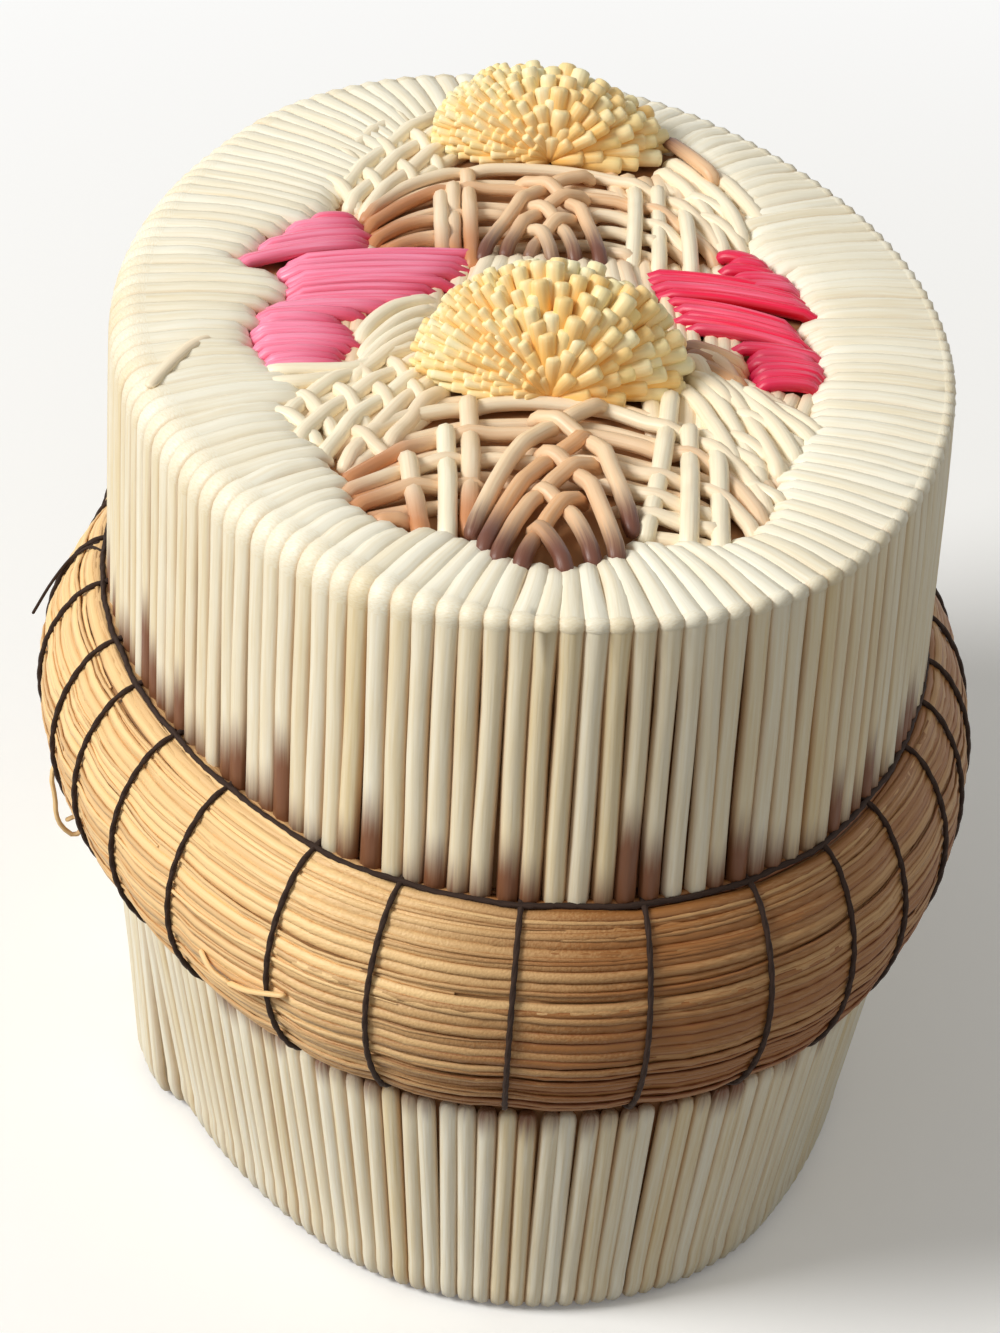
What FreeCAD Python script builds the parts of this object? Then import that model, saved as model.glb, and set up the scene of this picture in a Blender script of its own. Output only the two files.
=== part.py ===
import FreeCAD, Part
import math
import os

os.makedirs("parts", exist_ok=True)

# Oval box of birch bark covered with porcupine quills, with a lid that lifts off.
# The long axis lies along Y, the box stands on Z = 0, and all lengths are in millimetres.

# Outline of the lid over its side quills: an oval of four tangent arcs
lid_half_width = 35.7
lid_half_length = 51.0
end_tightness_share = 0.5

# Heights of the two halves
base_wall_height = 23.8
lid_height = 46.0
seat_gap = 0.2

# Bark sheets
bark_thickness = 1.2
liner_thickness = 0.6
collar_thickness = 1.0
collar_rise = 32.0
collar_clearance = 0.3
base_inset = 4.2
bottom_inset = 0.1
seam_lap_width = 9.0
edge_round_share = 0.95

# Quills of the sides and the border
quill_diameter = 1.7
quill_pitch = 1.95
base_quill_diameter = 1.35
base_quill_pitch = 1.7
quill_end_gap = 0.3
border_gap = 0.7
quill_spacing_share = 0.44
thin_end_share = 0.25
touch_clearance = 0.02

# Sweetgrass bundle round the lid's lower edge, and its thread
sweetgrass_height = 19.6
sweetgrass_proud = 4.6
bundle_edge_radius = 4.6
thread_diameter = 0.5
stitch_pitch = 8.58
stitch_slack = 0.05
seam_stitch_length = 4.0
seam_stitch_gap = 3.0

# Quillwork of the lid's top
design_turn = 7.6
design_shift = 1.8
design_quill_diameter = 1.1
design_quill_pitch = 1.25
layer_gap = 0.05
arch_count = 4

# Tufts of cut quills
front_tuft_height = 12.0
back_tuft_height = 10.6
tuft_lobe_radius = 5.9
tuft_lobe_depth = 5.2
tuft_lobe_spread = 5.7
tuft_root_radius = 2.7
tuft_quill_diameter = 1.05
tuft_quill_root_diameter = 0.7
tuft_quills_per_lobe = 40
tuft_lowest_share = 0.2

# Worked out from the sizes above
quill_radius = quill_diameter / 2
base_quill_radius = base_quill_diameter / 2
design_quill_radius = design_quill_diameter / 2
thread_radius = thread_diameter / 2
end_radius = lid_half_width - end_tightness_share * (lid_half_length - lid_half_width)
side_radius = (lid_half_width ** 2 + (lid_half_length - end_radius) ** 2 - end_radius ** 2) / (
    2 * (lid_half_width - end_radius))
end_centre = lid_half_length - end_radius
side_centre = side_radius - lid_half_width
side_angle = math.atan2(end_centre, side_centre)
lid_bottom = base_wall_height + seat_gap
lid_top = lid_bottom + lid_height
bark_top = lid_top - quill_diameter
panel_bottom = bark_top - bark_thickness
lid_bark_offset = -quill_diameter
lid_liner_offset = lid_bark_offset - bark_thickness
lid_inner_offset = lid_liner_offset - liner_thickness
collar_offset = lid_inner_offset - collar_clearance
collar_inner_offset = collar_offset - collar_thickness
collar_top = base_wall_height + collar_rise
base_top_offset = 0.0
base_bottom_offset = -base_inset
stitch_room = thread_diameter + 2 * stitch_slack
sweetgrass_middle = lid_bottom + stitch_room + sweetgrass_height / 2
sweetgrass_top = sweetgrass_middle + sweetgrass_height / 2
edge_round = bark_thickness * edge_round_share
bend_radius = edge_round + quill_radius
design_layer = design_quill_diameter + layer_gap

# Places of the top's quillwork in its own turned frame, as (across, along) shares of the
# lid's half width and half length. Along is negative at the front end.
border_edge_shares = [
    (0.00, -0.83), (0.11, -0.775), (0.20, -0.72), (0.33, -0.73), (0.42, -0.725), (0.52, -0.67),
    (0.56, -0.58), (0.55, -0.48), (0.60, -0.375), (0.66, -0.18), (0.655, -0.06), (0.61, 0.01),
    (0.65, 0.09), (0.595, 0.22), (0.52, 0.31), (0.50, 0.40), (0.53, 0.48), (0.44, 0.61),
    (0.38, 0.75), (0.26, 0.845), (0.00, 0.875), (-0.26, 0.845), (-0.36, 0.75), (-0.39, 0.61),
    (-0.47, 0.51), (-0.555, 0.42), (-0.60, 0.34), (-0.70, 0.28), (-0.775, 0.175), (-0.66, 0.08),
    (-0.725, -0.01), (-0.735, -0.145), (-0.665, -0.25), (-0.625, -0.315), (-0.65, -0.38),
    (-0.575, -0.45), (-0.505, -0.51), (-0.485, -0.57), (-0.45, -0.66), (-0.38, -0.71),
    (-0.30, -0.74), (-0.24, -0.72), (-0.155, -0.755), (-0.08, -0.79)]
front_arch_centre_share = -0.63
back_arch_centre_share = 0.26
arch_shares = (0.476, 0.333)
arch_step_shares = (0.073, 0.051)
front_arch_angles = (166.0, 10.0)
back_arch_angles = (157.0, 20.0)
front_upright_shares = [
    ((-0.305, -0.49), (-0.285, -0.715)), ((-0.235, -0.41), (-0.22, -0.69)),
    ((-0.17, -0.355), (-0.165, -0.70)), ((0.25, -0.34), (0.23, -0.695)),
    ((0.325, -0.38), (0.315, -0.70)), ((0.39, -0.49), (0.39, -0.705))]
back_upright_shares = [
    ((-0.265, 0.485), (-0.255, 0.285)), ((-0.21, 0.52), (-0.20, 0.285)), ((-0.155, 0.535), (-0.145, 0.285)),
    ((0.19, 0.53), (0.19, 0.285)), ((0.25, 0.50), (0.25, 0.285)), ((0.32, 0.455), (0.32, 0.32))]
front_down_left_shares = [
    ((0.075, -0.365), (-0.11, -0.735)), ((0.085, -0.44), (-0.06, -0.745)), ((0.095, -0.515), (-0.01, -0.76))]
front_down_right_shares = [
    ((-0.035, -0.365), (0.175, -0.69)), ((-0.045, -0.44), (0.13, -0.71)), ((-0.055, -0.515), (0.08, -0.735))]
back_down_left_shares = [
    ((0.06, 0.50), (-0.11, 0.285)), ((0.07, 0.43), (-0.045, 0.285)), ((0.08, 0.36), (0.02, 0.285))]
back_down_right_shares = [
    ((-0.03, 0.50), (0.14, 0.285)), ((-0.04, 0.43), (0.075, 0.285)), ((-0.05, 0.36), (0.01, 0.285))]

# Patches of quills laid side by side: near line from first to second point, far line from
# third to fourth, each quill running from the near line to the far line
pink_left_patches_shares = [
    [(-0.755, 0.175), (-0.63, 0.30), (-0.45, 0.255), (-0.465, 0.345)],
    [(-0.64, 0.145), (-0.615, 0.075), (-0.19, 0.21), (-0.30, 0.06)],
    [(-0.70, -0.01), (-0.70, -0.20), (-0.42, 0.0), (-0.47, -0.185)]]
pink_right_patches_shares = [
    [(0.235, 0.20), (0.32, 0.045), (0.60, 0.17), (0.625, 0.085)],
    [(0.42, 0.235), (0.43, 0.275), (0.54, 0.225), (0.505, 0.28)],
    [(0.36, 0.0), (0.50, -0.17), (0.585, -0.005), (0.635, -0.155)]]
brown_accent_patches_shares = [[(0.365, -0.085), (0.36, -0.155), (0.46, -0.15), (0.455, -0.215)]]
white_fill_patches_shares = [
    [(-0.40, -0.02), (-0.445, -0.18), (-0.30, 0.0), (-0.335, -0.13)],
    [(-0.14, 0.26), (0.17, 0.26), (-0.22, -0.07), (0.22, -0.07)]]
front_diagonal_patches_shares = [
    [(-0.345, -0.165), (-0.315, -0.24), (-0.60, -0.33), (-0.495, -0.455)],
    [(0.44, -0.245), (0.36, -0.215), (0.56, -0.38), (0.50, -0.445)]]
back_diagonal_patches_shares = [
    [(-0.33, 0.66), (-0.34, 0.575), (-0.525, 0.43), (-0.49, 0.40)],
    [(0.40, 0.645), (0.365, 0.60), (0.51, 0.44), (0.485, 0.40)]]
front_tuft_shares = (0.0, -0.185)
back_tuft_shares = (0.0, 0.705)


def oval_arcs():
    """Centre, radius and start angle and span of each arc, anticlockwise from the right."""
    end_span = math.pi - 2 * side_angle
    return [
        ((-side_centre, 0), side_radius, -side_angle, 2 * side_angle),
        ((0, end_centre), end_radius, side_angle, end_span),
        ((side_centre, 0), side_radius, math.pi - side_angle, 2 * side_angle),
        ((0, -end_centre), end_radius, math.pi + side_angle, end_span)]


def oval_length():
    return sum(radius * span for centre, radius, start, span in oval_arcs())


def oval_station(share):
    """Point of the outline and its outward direction at a share of the way round."""
    left = (share % 1) * oval_length() + side_radius * side_angle
    left = left % oval_length()
    for centre, radius, start, span in oval_arcs():
        if left <= radius * span:
            break
        left -= radius * span
    angle = start + left / radius
    outward = FreeCAD.Vector(math.cos(angle), math.sin(angle), 0)
    return FreeCAD.Vector(centre[0], centre[1], 0) + outward * radius, outward


def oval_ring(section):
    """Sweep a face drawn in the XZ plane, with X as the offset from the outline, round the oval."""
    pieces = []
    for centre, radius, start, span in oval_arcs():
        middle = FreeCAD.Vector(centre[0], centre[1], 0)
        face = section.copy()
        face.translate(FreeCAD.Vector(radius, 0, 0))
        face.rotate(FreeCAD.Vector(), FreeCAD.Vector(0, 0, 1), math.degrees(start))
        face.translate(middle)
        pieces.append(face.revolve(middle, FreeCAD.Vector(0, 0, 1), math.degrees(span)))
    return pieces[0].fuse(pieces[1:]).removeSplitter().Solids[0]


def section_polygon(points):
    """A face in the XZ plane through (offset, height) points."""
    corners = [FreeCAD.Vector(x, 0, z) for x, z in points]
    return Part.Face(Part.makePolygon(corners + corners[:1]))


def oval_face(offset, height):
    edges = []
    for centre, radius, start, span in oval_arcs():
        circle = Part.Circle(FreeCAD.Vector(centre[0], centre[1], height), FreeCAD.Vector(0, 0, 1),
                             radius + offset)
        edges.append(circle.toShape(start % (2 * math.pi), start % (2 * math.pi) + span))
    return Part.Face(Part.Wire(edges))


def oval_disc(offset, bottom, top):
    return oval_face(offset, bottom).extrude(FreeCAD.Vector(0, 0, top - bottom))


def rod(start, end, start_radius, end_radius_here):
    """A straight round quill or thread, tapered when its two radii differ."""
    along = end - start
    if abs(start_radius - end_radius_here) < touch_clearance:
        return Part.makeCylinder(start_radius, along.Length, start, along)
    return Part.makeCone(start_radius, end_radius_here, along.Length, start, along)


def spot(across_share, along_share, height):
    """A place of the top's quillwork, from its own frame to the box's."""
    across = across_share * lid_half_width + design_shift
    along = along_share * lid_half_length
    turn = math.radians(design_turn)
    return FreeCAD.Vector(across * math.cos(turn) + along * math.sin(turn),
                          along * math.cos(turn) - across * math.sin(turn), height)


def design_height(layer):
    """Axis height of the design quills in a layer counted from the bark."""
    return bark_top + design_quill_radius + layer * design_layer


def laid_patch(corners):
    """Quills side by side between two lines, thinner at the end where they draw together."""
    near_a, near_b, far_a, far_b = [spot(x, y, design_height(0)) for x, y in corners]
    direction = (far_a + far_b - near_a - near_b).normalize()
    across = FreeCAD.Vector(-direction.y, direction.x, 0)
    near_breadth = abs((near_b - near_a).dot(across))
    far_breadth = abs((far_b - far_a).dot(across))
    count = max(2, int(round(max(near_breadth, far_breadth) / design_quill_pitch)) + 1)
    radii = []
    for breadth in (near_breadth, far_breadth):
        spaced = breadth / (count - 1) * quill_spacing_share
        radii.append(min(design_quill_radius, max(spaced, design_quill_radius * thin_end_share)))
    rods = []
    for i in range(count):
        t = i / (count - 1)
        start = near_a + (near_b - near_a) * t
        end = far_a + (far_b - far_a) * t
        rods.append(rod(start, end, radii[0], radii[1]))
    return rods


def laid_patches(table):
    rods = []
    for corners in table:
        rods += laid_patch(corners)
    return Part.makeCompound(rods)


def straight_quills(table, layer):
    return [rod(spot(a[0], a[1], design_height(layer)), spot(b[0], b[1], design_height(layer)),
                design_quill_radius, design_quill_radius) for a, b in table]


def arch_quill(centre_share, reach_shares, angles):
    """One bent quill lying on the bark, its ends tucked in at the two sides."""
    across_share, along_share = reach_shares
    points = []
    for angle in (angles[0], sum(angles) / 2, angles[1]):
        turn = math.radians(angle)
        points.append(spot(across_share * math.cos(turn), centre_share + along_share * math.sin(turn),
                           design_height(0)))
    path = Part.Wire([Part.Arc(points[0], points[1], points[2]).toShape()])
    tangent = path.Edges[0].tangentAt(path.Edges[0].FirstParameter)
    circle = Part.Circle(path.Edges[0].valueAt(path.Edges[0].FirstParameter), tangent, design_quill_radius)
    return path.makePipe(Part.Face(Part.Wire([circle.toShape()])))


def arches(centre_share, angles):
    """Arched quills nested inside each other."""
    quills = []
    for i in range(arch_count):
        reach_shares = [whole - i * step for whole, step in zip(arch_shares, arch_step_shares)]
        quills.append(arch_quill(centre_share, reach_shares, angles))
    return Part.makeCompound(quills)


def edge_point(start, direction):
    """Where a straight line from the rim meets the inner edge of the border."""
    corners = [spot(x, y, 0) for x, y in border_edge_shares]
    nearest = None
    for a, b in zip(corners, corners[1:] + corners[:1]):
        side = b - a
        cross = direction.x * side.y - direction.y * side.x
        if cross == 0:
            continue
        reach = a - start
        distance = (reach.x * side.y - reach.y * side.x) / cross
        along = (reach.x * direction.y - reach.y * direction.x) / cross
        if distance > 0 and 0 <= along <= 1 and (nearest is None or distance < nearest):
            nearest = distance
    return nearest


def border_line(share):
    """Rim point, inward direction and run of one border quill in plan."""
    outline, outward = oval_station(share)
    rim = outline - outward * quill_radius
    target = FreeCAD.Vector(0, rim.y / 2, 0)
    inward = (target - rim).normalize()
    reach = edge_point(rim, inward)
    return rim, inward, max(reach - border_gap, bend_radius + quill_diameter)


def end_to_end(pieces, joints):
    """One solid from round pieces that meet on whole end faces at the joints."""
    faces = []
    for piece in pieces:
        for face in piece.Faces:
            hidden = isinstance(face.Surface, Part.Plane) and any(
                (face.CenterOfMass - joint).Length < touch_clearance for joint in joints)
            if not hidden:
                faces.append(face)
    skin = Part.makeShell(faces)
    skin.sewShape()
    return Part.Solid(skin.Shells[0])


def border_quill(line, neighbours):
    """A quill that runs from the border's inner edge over the rim and down the lid's side."""
    rim, inward, run = line
    axis_top = bark_top + quill_radius
    low = FreeCAD.Vector(rim.x, rim.y, sweetgrass_top + stitch_room)
    bend_start = FreeCAD.Vector(rim.x, rim.y, axis_top - bend_radius)
    bend_centre = bend_start + inward * bend_radius
    bend_end = bend_centre + FreeCAD.Vector(0, 0, bend_radius)
    inner_end = FreeCAD.Vector(rim.x, rim.y, axis_top) + inward * run
    spacing = min(abs((inner_end - beside[0]).cross(beside[1]).z) for beside in neighbours)
    tip_radius = min(quill_radius, max(spacing * quill_spacing_share, quill_radius * thin_end_share))
    side = rod(low, bend_start, quill_radius, quill_radius)
    circle = Part.Circle(bend_start, FreeCAD.Vector(0, 0, 1), quill_radius)
    bend = Part.Face(Part.Wire([circle.toShape()])).revolve(
        bend_centre, FreeCAD.Vector(0, 0, 1).cross(inward), 90)
    top = rod(bend_end, inner_end, quill_radius, tip_radius)
    return end_to_end([side, bend, top], [bend_start, bend_end])


def border_quills():
    count = int(round(oval_length() / quill_pitch))
    lines = [border_line(i / count) for i in range(count)]
    quills = []
    for i in range(count):
        quills.append(border_quill(lines[i], [lines[i - 1], lines[(i + 1) % count]]))
    return Part.makeCompound(quills)


def base_offset(height):
    """Offset of the base wall's quilled surface, which leans in towards the floor."""
    return base_bottom_offset + (base_top_offset - base_bottom_offset) * height / base_wall_height


def base_quills():
    count = int(round(oval_length() / base_quill_pitch))
    low = quill_end_gap
    high = base_wall_height - quill_end_gap
    quills = []
    for i in range(count):
        outline, outward = oval_station(i / count)
        start = outline + outward * (base_offset(low) - base_quill_radius + touch_clearance)
        end = outline + outward * (base_offset(high) - base_quill_radius + touch_clearance)
        start.z = low
        end.z = high
        quills.append(rod(start, end, base_quill_radius, base_quill_radius))
    return Part.makeCompound(quills)


def base_side_band():
    """Bark wall of the base, standing on the floor panel."""
    low = bark_thickness
    high = base_wall_height
    bottom = base_offset(low) - base_quill_diameter
    top = base_offset(high) - base_quill_diameter
    return oval_ring(section_polygon([
        (bottom, low), (top, high), (top - bark_thickness, high), (bottom - bark_thickness, low)]))


def base_collar():
    """Inner bark strip that lines the base and stands up inside the lid, with its lapped seam."""
    low = bark_thickness
    foot = base_offset(low) - base_quill_diameter - bark_thickness - touch_clearance
    knee = min(collar_offset, base_offset(base_wall_height) - base_quill_diameter - bark_thickness)
    strip = oval_ring(section_polygon([
        (foot, low), (knee, base_wall_height), (collar_offset, base_wall_height + seat_gap),
        (collar_offset, collar_top), (collar_inner_offset, collar_top),
        (collar_inner_offset, base_wall_height + seat_gap), (knee - collar_thickness, base_wall_height),
        (foot - collar_thickness, low)]))
    lap_half_angle = seam_lap_width / (2 * end_radius)
    lap_outer = end_radius + collar_inner_offset + touch_clearance
    lap_low = base_wall_height + seat_gap
    lap = section_polygon([
        (lap_outer, lap_low), (lap_outer, collar_top),
        (lap_outer - collar_thickness, collar_top), (lap_outer - collar_thickness, lap_low)])
    lap.rotate(FreeCAD.Vector(), FreeCAD.Vector(0, 0, 1), 90 - math.degrees(lap_half_angle))
    lap.translate(FreeCAD.Vector(0, end_centre, 0))
    pad = lap.revolve(FreeCAD.Vector(0, end_centre, 0), FreeCAD.Vector(0, 0, 1),
                      math.degrees(2 * lap_half_angle))
    return strip.fuse(pad).removeSplitter().Solids[0]


def collar_seam_thread():
    """Two columns of thread stitches that close the collar's lap."""
    radius = end_radius + collar_inner_offset + touch_clearance - collar_thickness - thread_radius
    radius = radius - touch_clearance
    stitches = []
    first = base_wall_height + seat_gap + seam_stitch_gap
    step = seam_stitch_length + seam_stitch_gap
    count = max(1, int((collar_top - first) / step))
    for side in (-1, 1):
        angle = math.pi / 2 + side * seam_lap_width / (4 * end_radius)
        for i in range(count):
            low = FreeCAD.Vector(radius * math.cos(angle), end_centre + radius * math.sin(angle),
                                 first + i * step)
            high = low + FreeCAD.Vector(0, 0, seam_stitch_length)
            stitches.append(rod(low, high, thread_radius, thread_radius))
    return Part.makeCompound(stitches)


def lid_top_panel():
    panel = oval_disc(lid_bark_offset, panel_bottom, bark_top)
    rim = [edge for edge in panel.Edges if abs(edge.BoundBox.ZMin - bark_top) < touch_clearance]
    return panel.makeFillet(edge_round, rim).Solids[0]


def lid_wall_ring(outer_offset, thickness, low, high):
    inner_offset = outer_offset - thickness
    return oval_ring(section_polygon([
        (outer_offset, low), (outer_offset, high), (inner_offset, high), (inner_offset, low)]))


def bulge_arcs(reach):
    """Centre, radius, start angle and span of the arcs round the bundle's section, from its top down."""
    proud = sweetgrass_proud - lid_bark_offset
    edge_centre = sweetgrass_height / 2 - bundle_edge_radius
    middle_radius = (proud ** 2 + edge_centre ** 2 - bundle_edge_radius ** 2) / (
        2 * (proud - bundle_edge_radius))
    middle_centre = middle_radius - proud
    turn = math.atan2(edge_centre, middle_centre)
    quarter = math.pi / 2
    inner = lid_bark_offset
    return [
        (FreeCAD.Vector(inner, 0, sweetgrass_middle + edge_centre), bundle_edge_radius + reach,
         quarter, quarter - turn),
        (FreeCAD.Vector(inner - middle_centre, 0, sweetgrass_middle), middle_radius + reach, turn, 2 * turn),
        (FreeCAD.Vector(inner, 0, sweetgrass_middle - edge_centre), bundle_edge_radius + reach,
         -turn, quarter - turn)]


def arc_spot(centre, radius, angle):
    return centre + FreeCAD.Vector(radius * math.cos(angle), 0, radius * math.sin(angle))


def sweetgrass_bundle():
    """Bundle of grass blades laid against the lid's lower edge, bulging outwards."""
    edges = []
    ends = []
    for centre, radius, start, span in bulge_arcs(0):
        points = [arc_spot(centre, radius, start - span * share) for share in (0, 0.5, 1)]
        edges.append(Part.Arc(points[0], points[1], points[2]).toShape())
        ends += [points[0], points[2]]
    edges.append(Part.makeLine(ends[-1], ends[0]))
    return oval_ring(Part.Face(Part.Wire(edges)))


def sweetgrass_stitches():
    """Thread stitches that hold the bundle to the lid, one at each station."""
    pieces = []
    joints = []
    for centre, radius, start, span in bulge_arcs(thread_radius + stitch_slack):
        begin = arc_spot(centre, radius, start)
        tangent = FreeCAD.Vector(math.sin(start), 0, -math.cos(start))
        circle = Part.Face(Part.Wire([Part.Circle(begin, tangent, thread_radius).toShape()]))
        pieces.append(circle.revolve(centre, FreeCAD.Vector(0, 1, 0), math.degrees(span)))
        joints.append(begin)
    stitch = end_to_end(pieces, joints[1:])
    count = int(round(oval_length() / stitch_pitch))
    stitches = []
    for i in range(count):
        outline, outward = oval_station(i / count)
        copy = stitch.copy()
        copy.rotate(FreeCAD.Vector(), FreeCAD.Vector(0, 0, 1), math.degrees(math.atan2(outward.y, outward.x)))
        copy.translate(outline)
        stitches.append(copy)
    return Part.makeCompound(stitches)


def tuft(place_shares, height):
    """Two lobes of cut quills that fan out from two bound roots."""
    centre = spot(place_shares[0], place_shares[1], bark_top)
    turn = math.radians(design_turn)
    across = FreeCAD.Vector(math.cos(turn), -math.sin(turn), 0)
    along = FreeCAD.Vector(math.sin(turn), math.cos(turn), 0)
    up = FreeCAD.Vector(0, 0, 1)
    root_reach = tuft_root_radius + touch_clearance
    golden_angle = math.pi * (3 - math.sqrt(5))
    pieces = []
    for side in (-1, 1):
        root = centre + across * (side * tuft_lobe_spread)
        pieces.append(Part.makeSphere(tuft_root_radius, root, up, 0, 90, 360))
        for i in range(tuft_quills_per_lobe):
            rise = tuft_lowest_share + (1 - tuft_lowest_share) * (i + 0.5) / tuft_quills_per_lobe
            level = math.sqrt(1 - rise * rise)
            angle = i * golden_angle
            direction = across * (level * math.cos(angle)) + along * (level * math.sin(angle)) + up * rise
            stretch = math.sqrt((level * math.cos(angle) / tuft_lobe_radius) ** 2
                                + (level * math.sin(angle) / tuft_lobe_depth) ** 2
                                + (rise / height) ** 2)
            tip = root + direction * (1 / stretch - tuft_quill_diameter / 2)
            inner_reach = (tip - centre).dot(across) * side
            if inner_reach < tuft_quill_diameter / 2 + touch_clearance:
                continue
            pieces.append(rod(root + direction * root_reach, tip, tuft_quill_root_diameter / 2,
                              tuft_quill_diameter / 2))
    return Part.makeCompound(pieces)


def lattice_chevrons(down_left, down_right):
    return Part.makeCompound(straight_quills(down_left, 1) + straight_quills(down_right, 2))


nodes = {
    "base_floor_panel": oval_disc(base_offset(0) - base_quill_diameter - bottom_inset, 0, bark_thickness),
    "base_floor_liner": oval_disc(
        base_offset(0) - base_quill_diameter - bark_thickness - collar_thickness - seat_gap,
        bark_thickness, bark_thickness + liner_thickness),
    "base_side_band": base_side_band(),
    "base_collar": base_collar(),
    "collar_seam_thread": collar_seam_thread(),
    "base_side_quills": base_quills(),
    "lid_side_band": lid_wall_ring(lid_bark_offset, bark_thickness, lid_bottom, panel_bottom),
    "lid_side_liner": lid_wall_ring(lid_liner_offset, liner_thickness, lid_bottom,
                                    panel_bottom - liner_thickness),
    "lid_top_panel": lid_top_panel(),
    "lid_top_liner": oval_disc(lid_liner_offset, panel_bottom - liner_thickness, panel_bottom),
    "lid_border_quills": border_quills(),
    "sweetgrass_bundle": sweetgrass_bundle(),
    "sweetgrass_stitches": sweetgrass_stitches(),
    "pink_leaf_left": laid_patches(pink_left_patches_shares),
    "pink_leaf_right": laid_patches(pink_right_patches_shares),
    "brown_accent_quills": laid_patches(brown_accent_patches_shares),
    "white_fill_quills": laid_patches(white_fill_patches_shares),
    "front_diagonal_quills": laid_patches(front_diagonal_patches_shares),
    "back_diagonal_quills": laid_patches(back_diagonal_patches_shares),
    "front_lattice_arches": arches(front_arch_centre_share, front_arch_angles),
    "back_lattice_arches": arches(back_arch_centre_share, back_arch_angles),
    "front_lattice_uprights": Part.makeCompound(straight_quills(front_upright_shares, 1)),
    "back_lattice_uprights": Part.makeCompound(straight_quills(back_upright_shares, 1)),
    "front_lattice_chevrons": lattice_chevrons(front_down_left_shares, front_down_right_shares),
    "back_lattice_chevrons": lattice_chevrons(back_down_left_shares, back_down_right_shares),
    "front_tuft": tuft(front_tuft_shares, front_tuft_height),
    "back_tuft": tuft(back_tuft_shares, back_tuft_height),
}

for name, shape in nodes.items():
    shape.exportStep("parts/" + name + ".step")
    print(name, len(shape.Solids), "solids", round(shape.Volume, 1), "mm3", "valid", shape.isValid())
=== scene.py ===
"""Looks of an oval birch-bark box covered with porcupine quills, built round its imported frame."""
import functools
import math
import random

import bmesh
import bpy
import numpy as np
from bpy.props import FloatProperty, FloatVectorProperty, IntProperty, PointerProperty
from mathutils import Euler, Matrix, Vector, noise


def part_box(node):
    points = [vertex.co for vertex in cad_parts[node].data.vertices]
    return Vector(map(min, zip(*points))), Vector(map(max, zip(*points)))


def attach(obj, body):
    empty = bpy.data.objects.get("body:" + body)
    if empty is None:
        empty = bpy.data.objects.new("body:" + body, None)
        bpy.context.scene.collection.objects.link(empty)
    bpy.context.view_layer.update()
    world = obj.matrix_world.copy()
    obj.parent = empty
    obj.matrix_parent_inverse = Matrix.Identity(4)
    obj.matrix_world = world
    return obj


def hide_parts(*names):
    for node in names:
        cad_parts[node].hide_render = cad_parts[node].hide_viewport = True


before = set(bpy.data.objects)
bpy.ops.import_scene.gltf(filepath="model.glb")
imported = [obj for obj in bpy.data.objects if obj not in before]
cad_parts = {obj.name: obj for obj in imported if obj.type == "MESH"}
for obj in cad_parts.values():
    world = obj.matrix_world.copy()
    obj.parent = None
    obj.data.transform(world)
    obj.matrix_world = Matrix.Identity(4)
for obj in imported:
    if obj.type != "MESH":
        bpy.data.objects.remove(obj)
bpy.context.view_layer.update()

bl_info = {
    "name": "Quill Box",
    "version": (1, 0, 0),
    "blender": (4, 5, 0),
    "location": "View3D > Sidebar > Quill Box",
    "description": "Dresses an oval bark box with porcupine quills, sweetgrass and thread",
    "category": "Object",
}

# Heights and reaches read from the frame
BASE_LOW, BASE_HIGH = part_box("base_side_quills")
GRASS_LOW, GRASS_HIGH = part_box("sweetgrass_bundle")
HALF_WIDTH, HALF_LENGTH, LID_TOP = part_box("lid_border_quills")[1]
BARK_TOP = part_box("lid_top_panel")[1].z
GRASS_MIDDLE = (GRASS_LOW.z + GRASS_HIGH.z) / 2
GRASS_HALF_HEIGHT = (GRASS_HIGH.z - GRASS_LOW.z) / 2
GRASS_PROUD = GRASS_HIGH.x - HALF_WIDTH
LID_WALL_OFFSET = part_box("lid_side_band")[1].x - HALF_WIDTH

MM = 0.001
TURN = 2 * math.pi
NO_ROOT = -50.0
WHOLLY_SHADED_ROOT = 60.0
WHITE = (1.0, 1.0, 1.0, 1.0)

# Places of the top's quillwork in its own turned frame, as shares of the half width and length
BORDER_EDGE_SHARES = [
    (0.00, -0.83), (0.11, -0.775), (0.20, -0.72), (0.33, -0.73), (0.41, -0.715), (0.48, -0.66),
    (0.50, -0.58), (0.52, -0.48), (0.57, -0.375), (0.63, -0.20), (0.645, -0.06), (0.60, 0.01),
    (0.64, 0.09), (0.585, 0.22), (0.50, 0.31), (0.48, 0.40), (0.50, 0.48), (0.42, 0.60),
    (0.34, 0.73), (0.24, 0.79), (0.00, 0.79), (-0.24, 0.81), (-0.35, 0.76), (-0.39, 0.63),
    (-0.47, 0.52), (-0.54, 0.43), (-0.585, 0.345), (-0.69, 0.28), (-0.765, 0.175), (-0.63, 0.085),
    (-0.70, -0.01), (-0.72, -0.145), (-0.61, -0.24), (-0.57, -0.30), (-0.61, -0.38),
    (-0.56, -0.45), (-0.50, -0.51), (-0.475, -0.57), (-0.44, -0.66), (-0.375, -0.71),
    (-0.30, -0.74), (-0.24, -0.72), (-0.155, -0.755), (-0.08, -0.79)]

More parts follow.
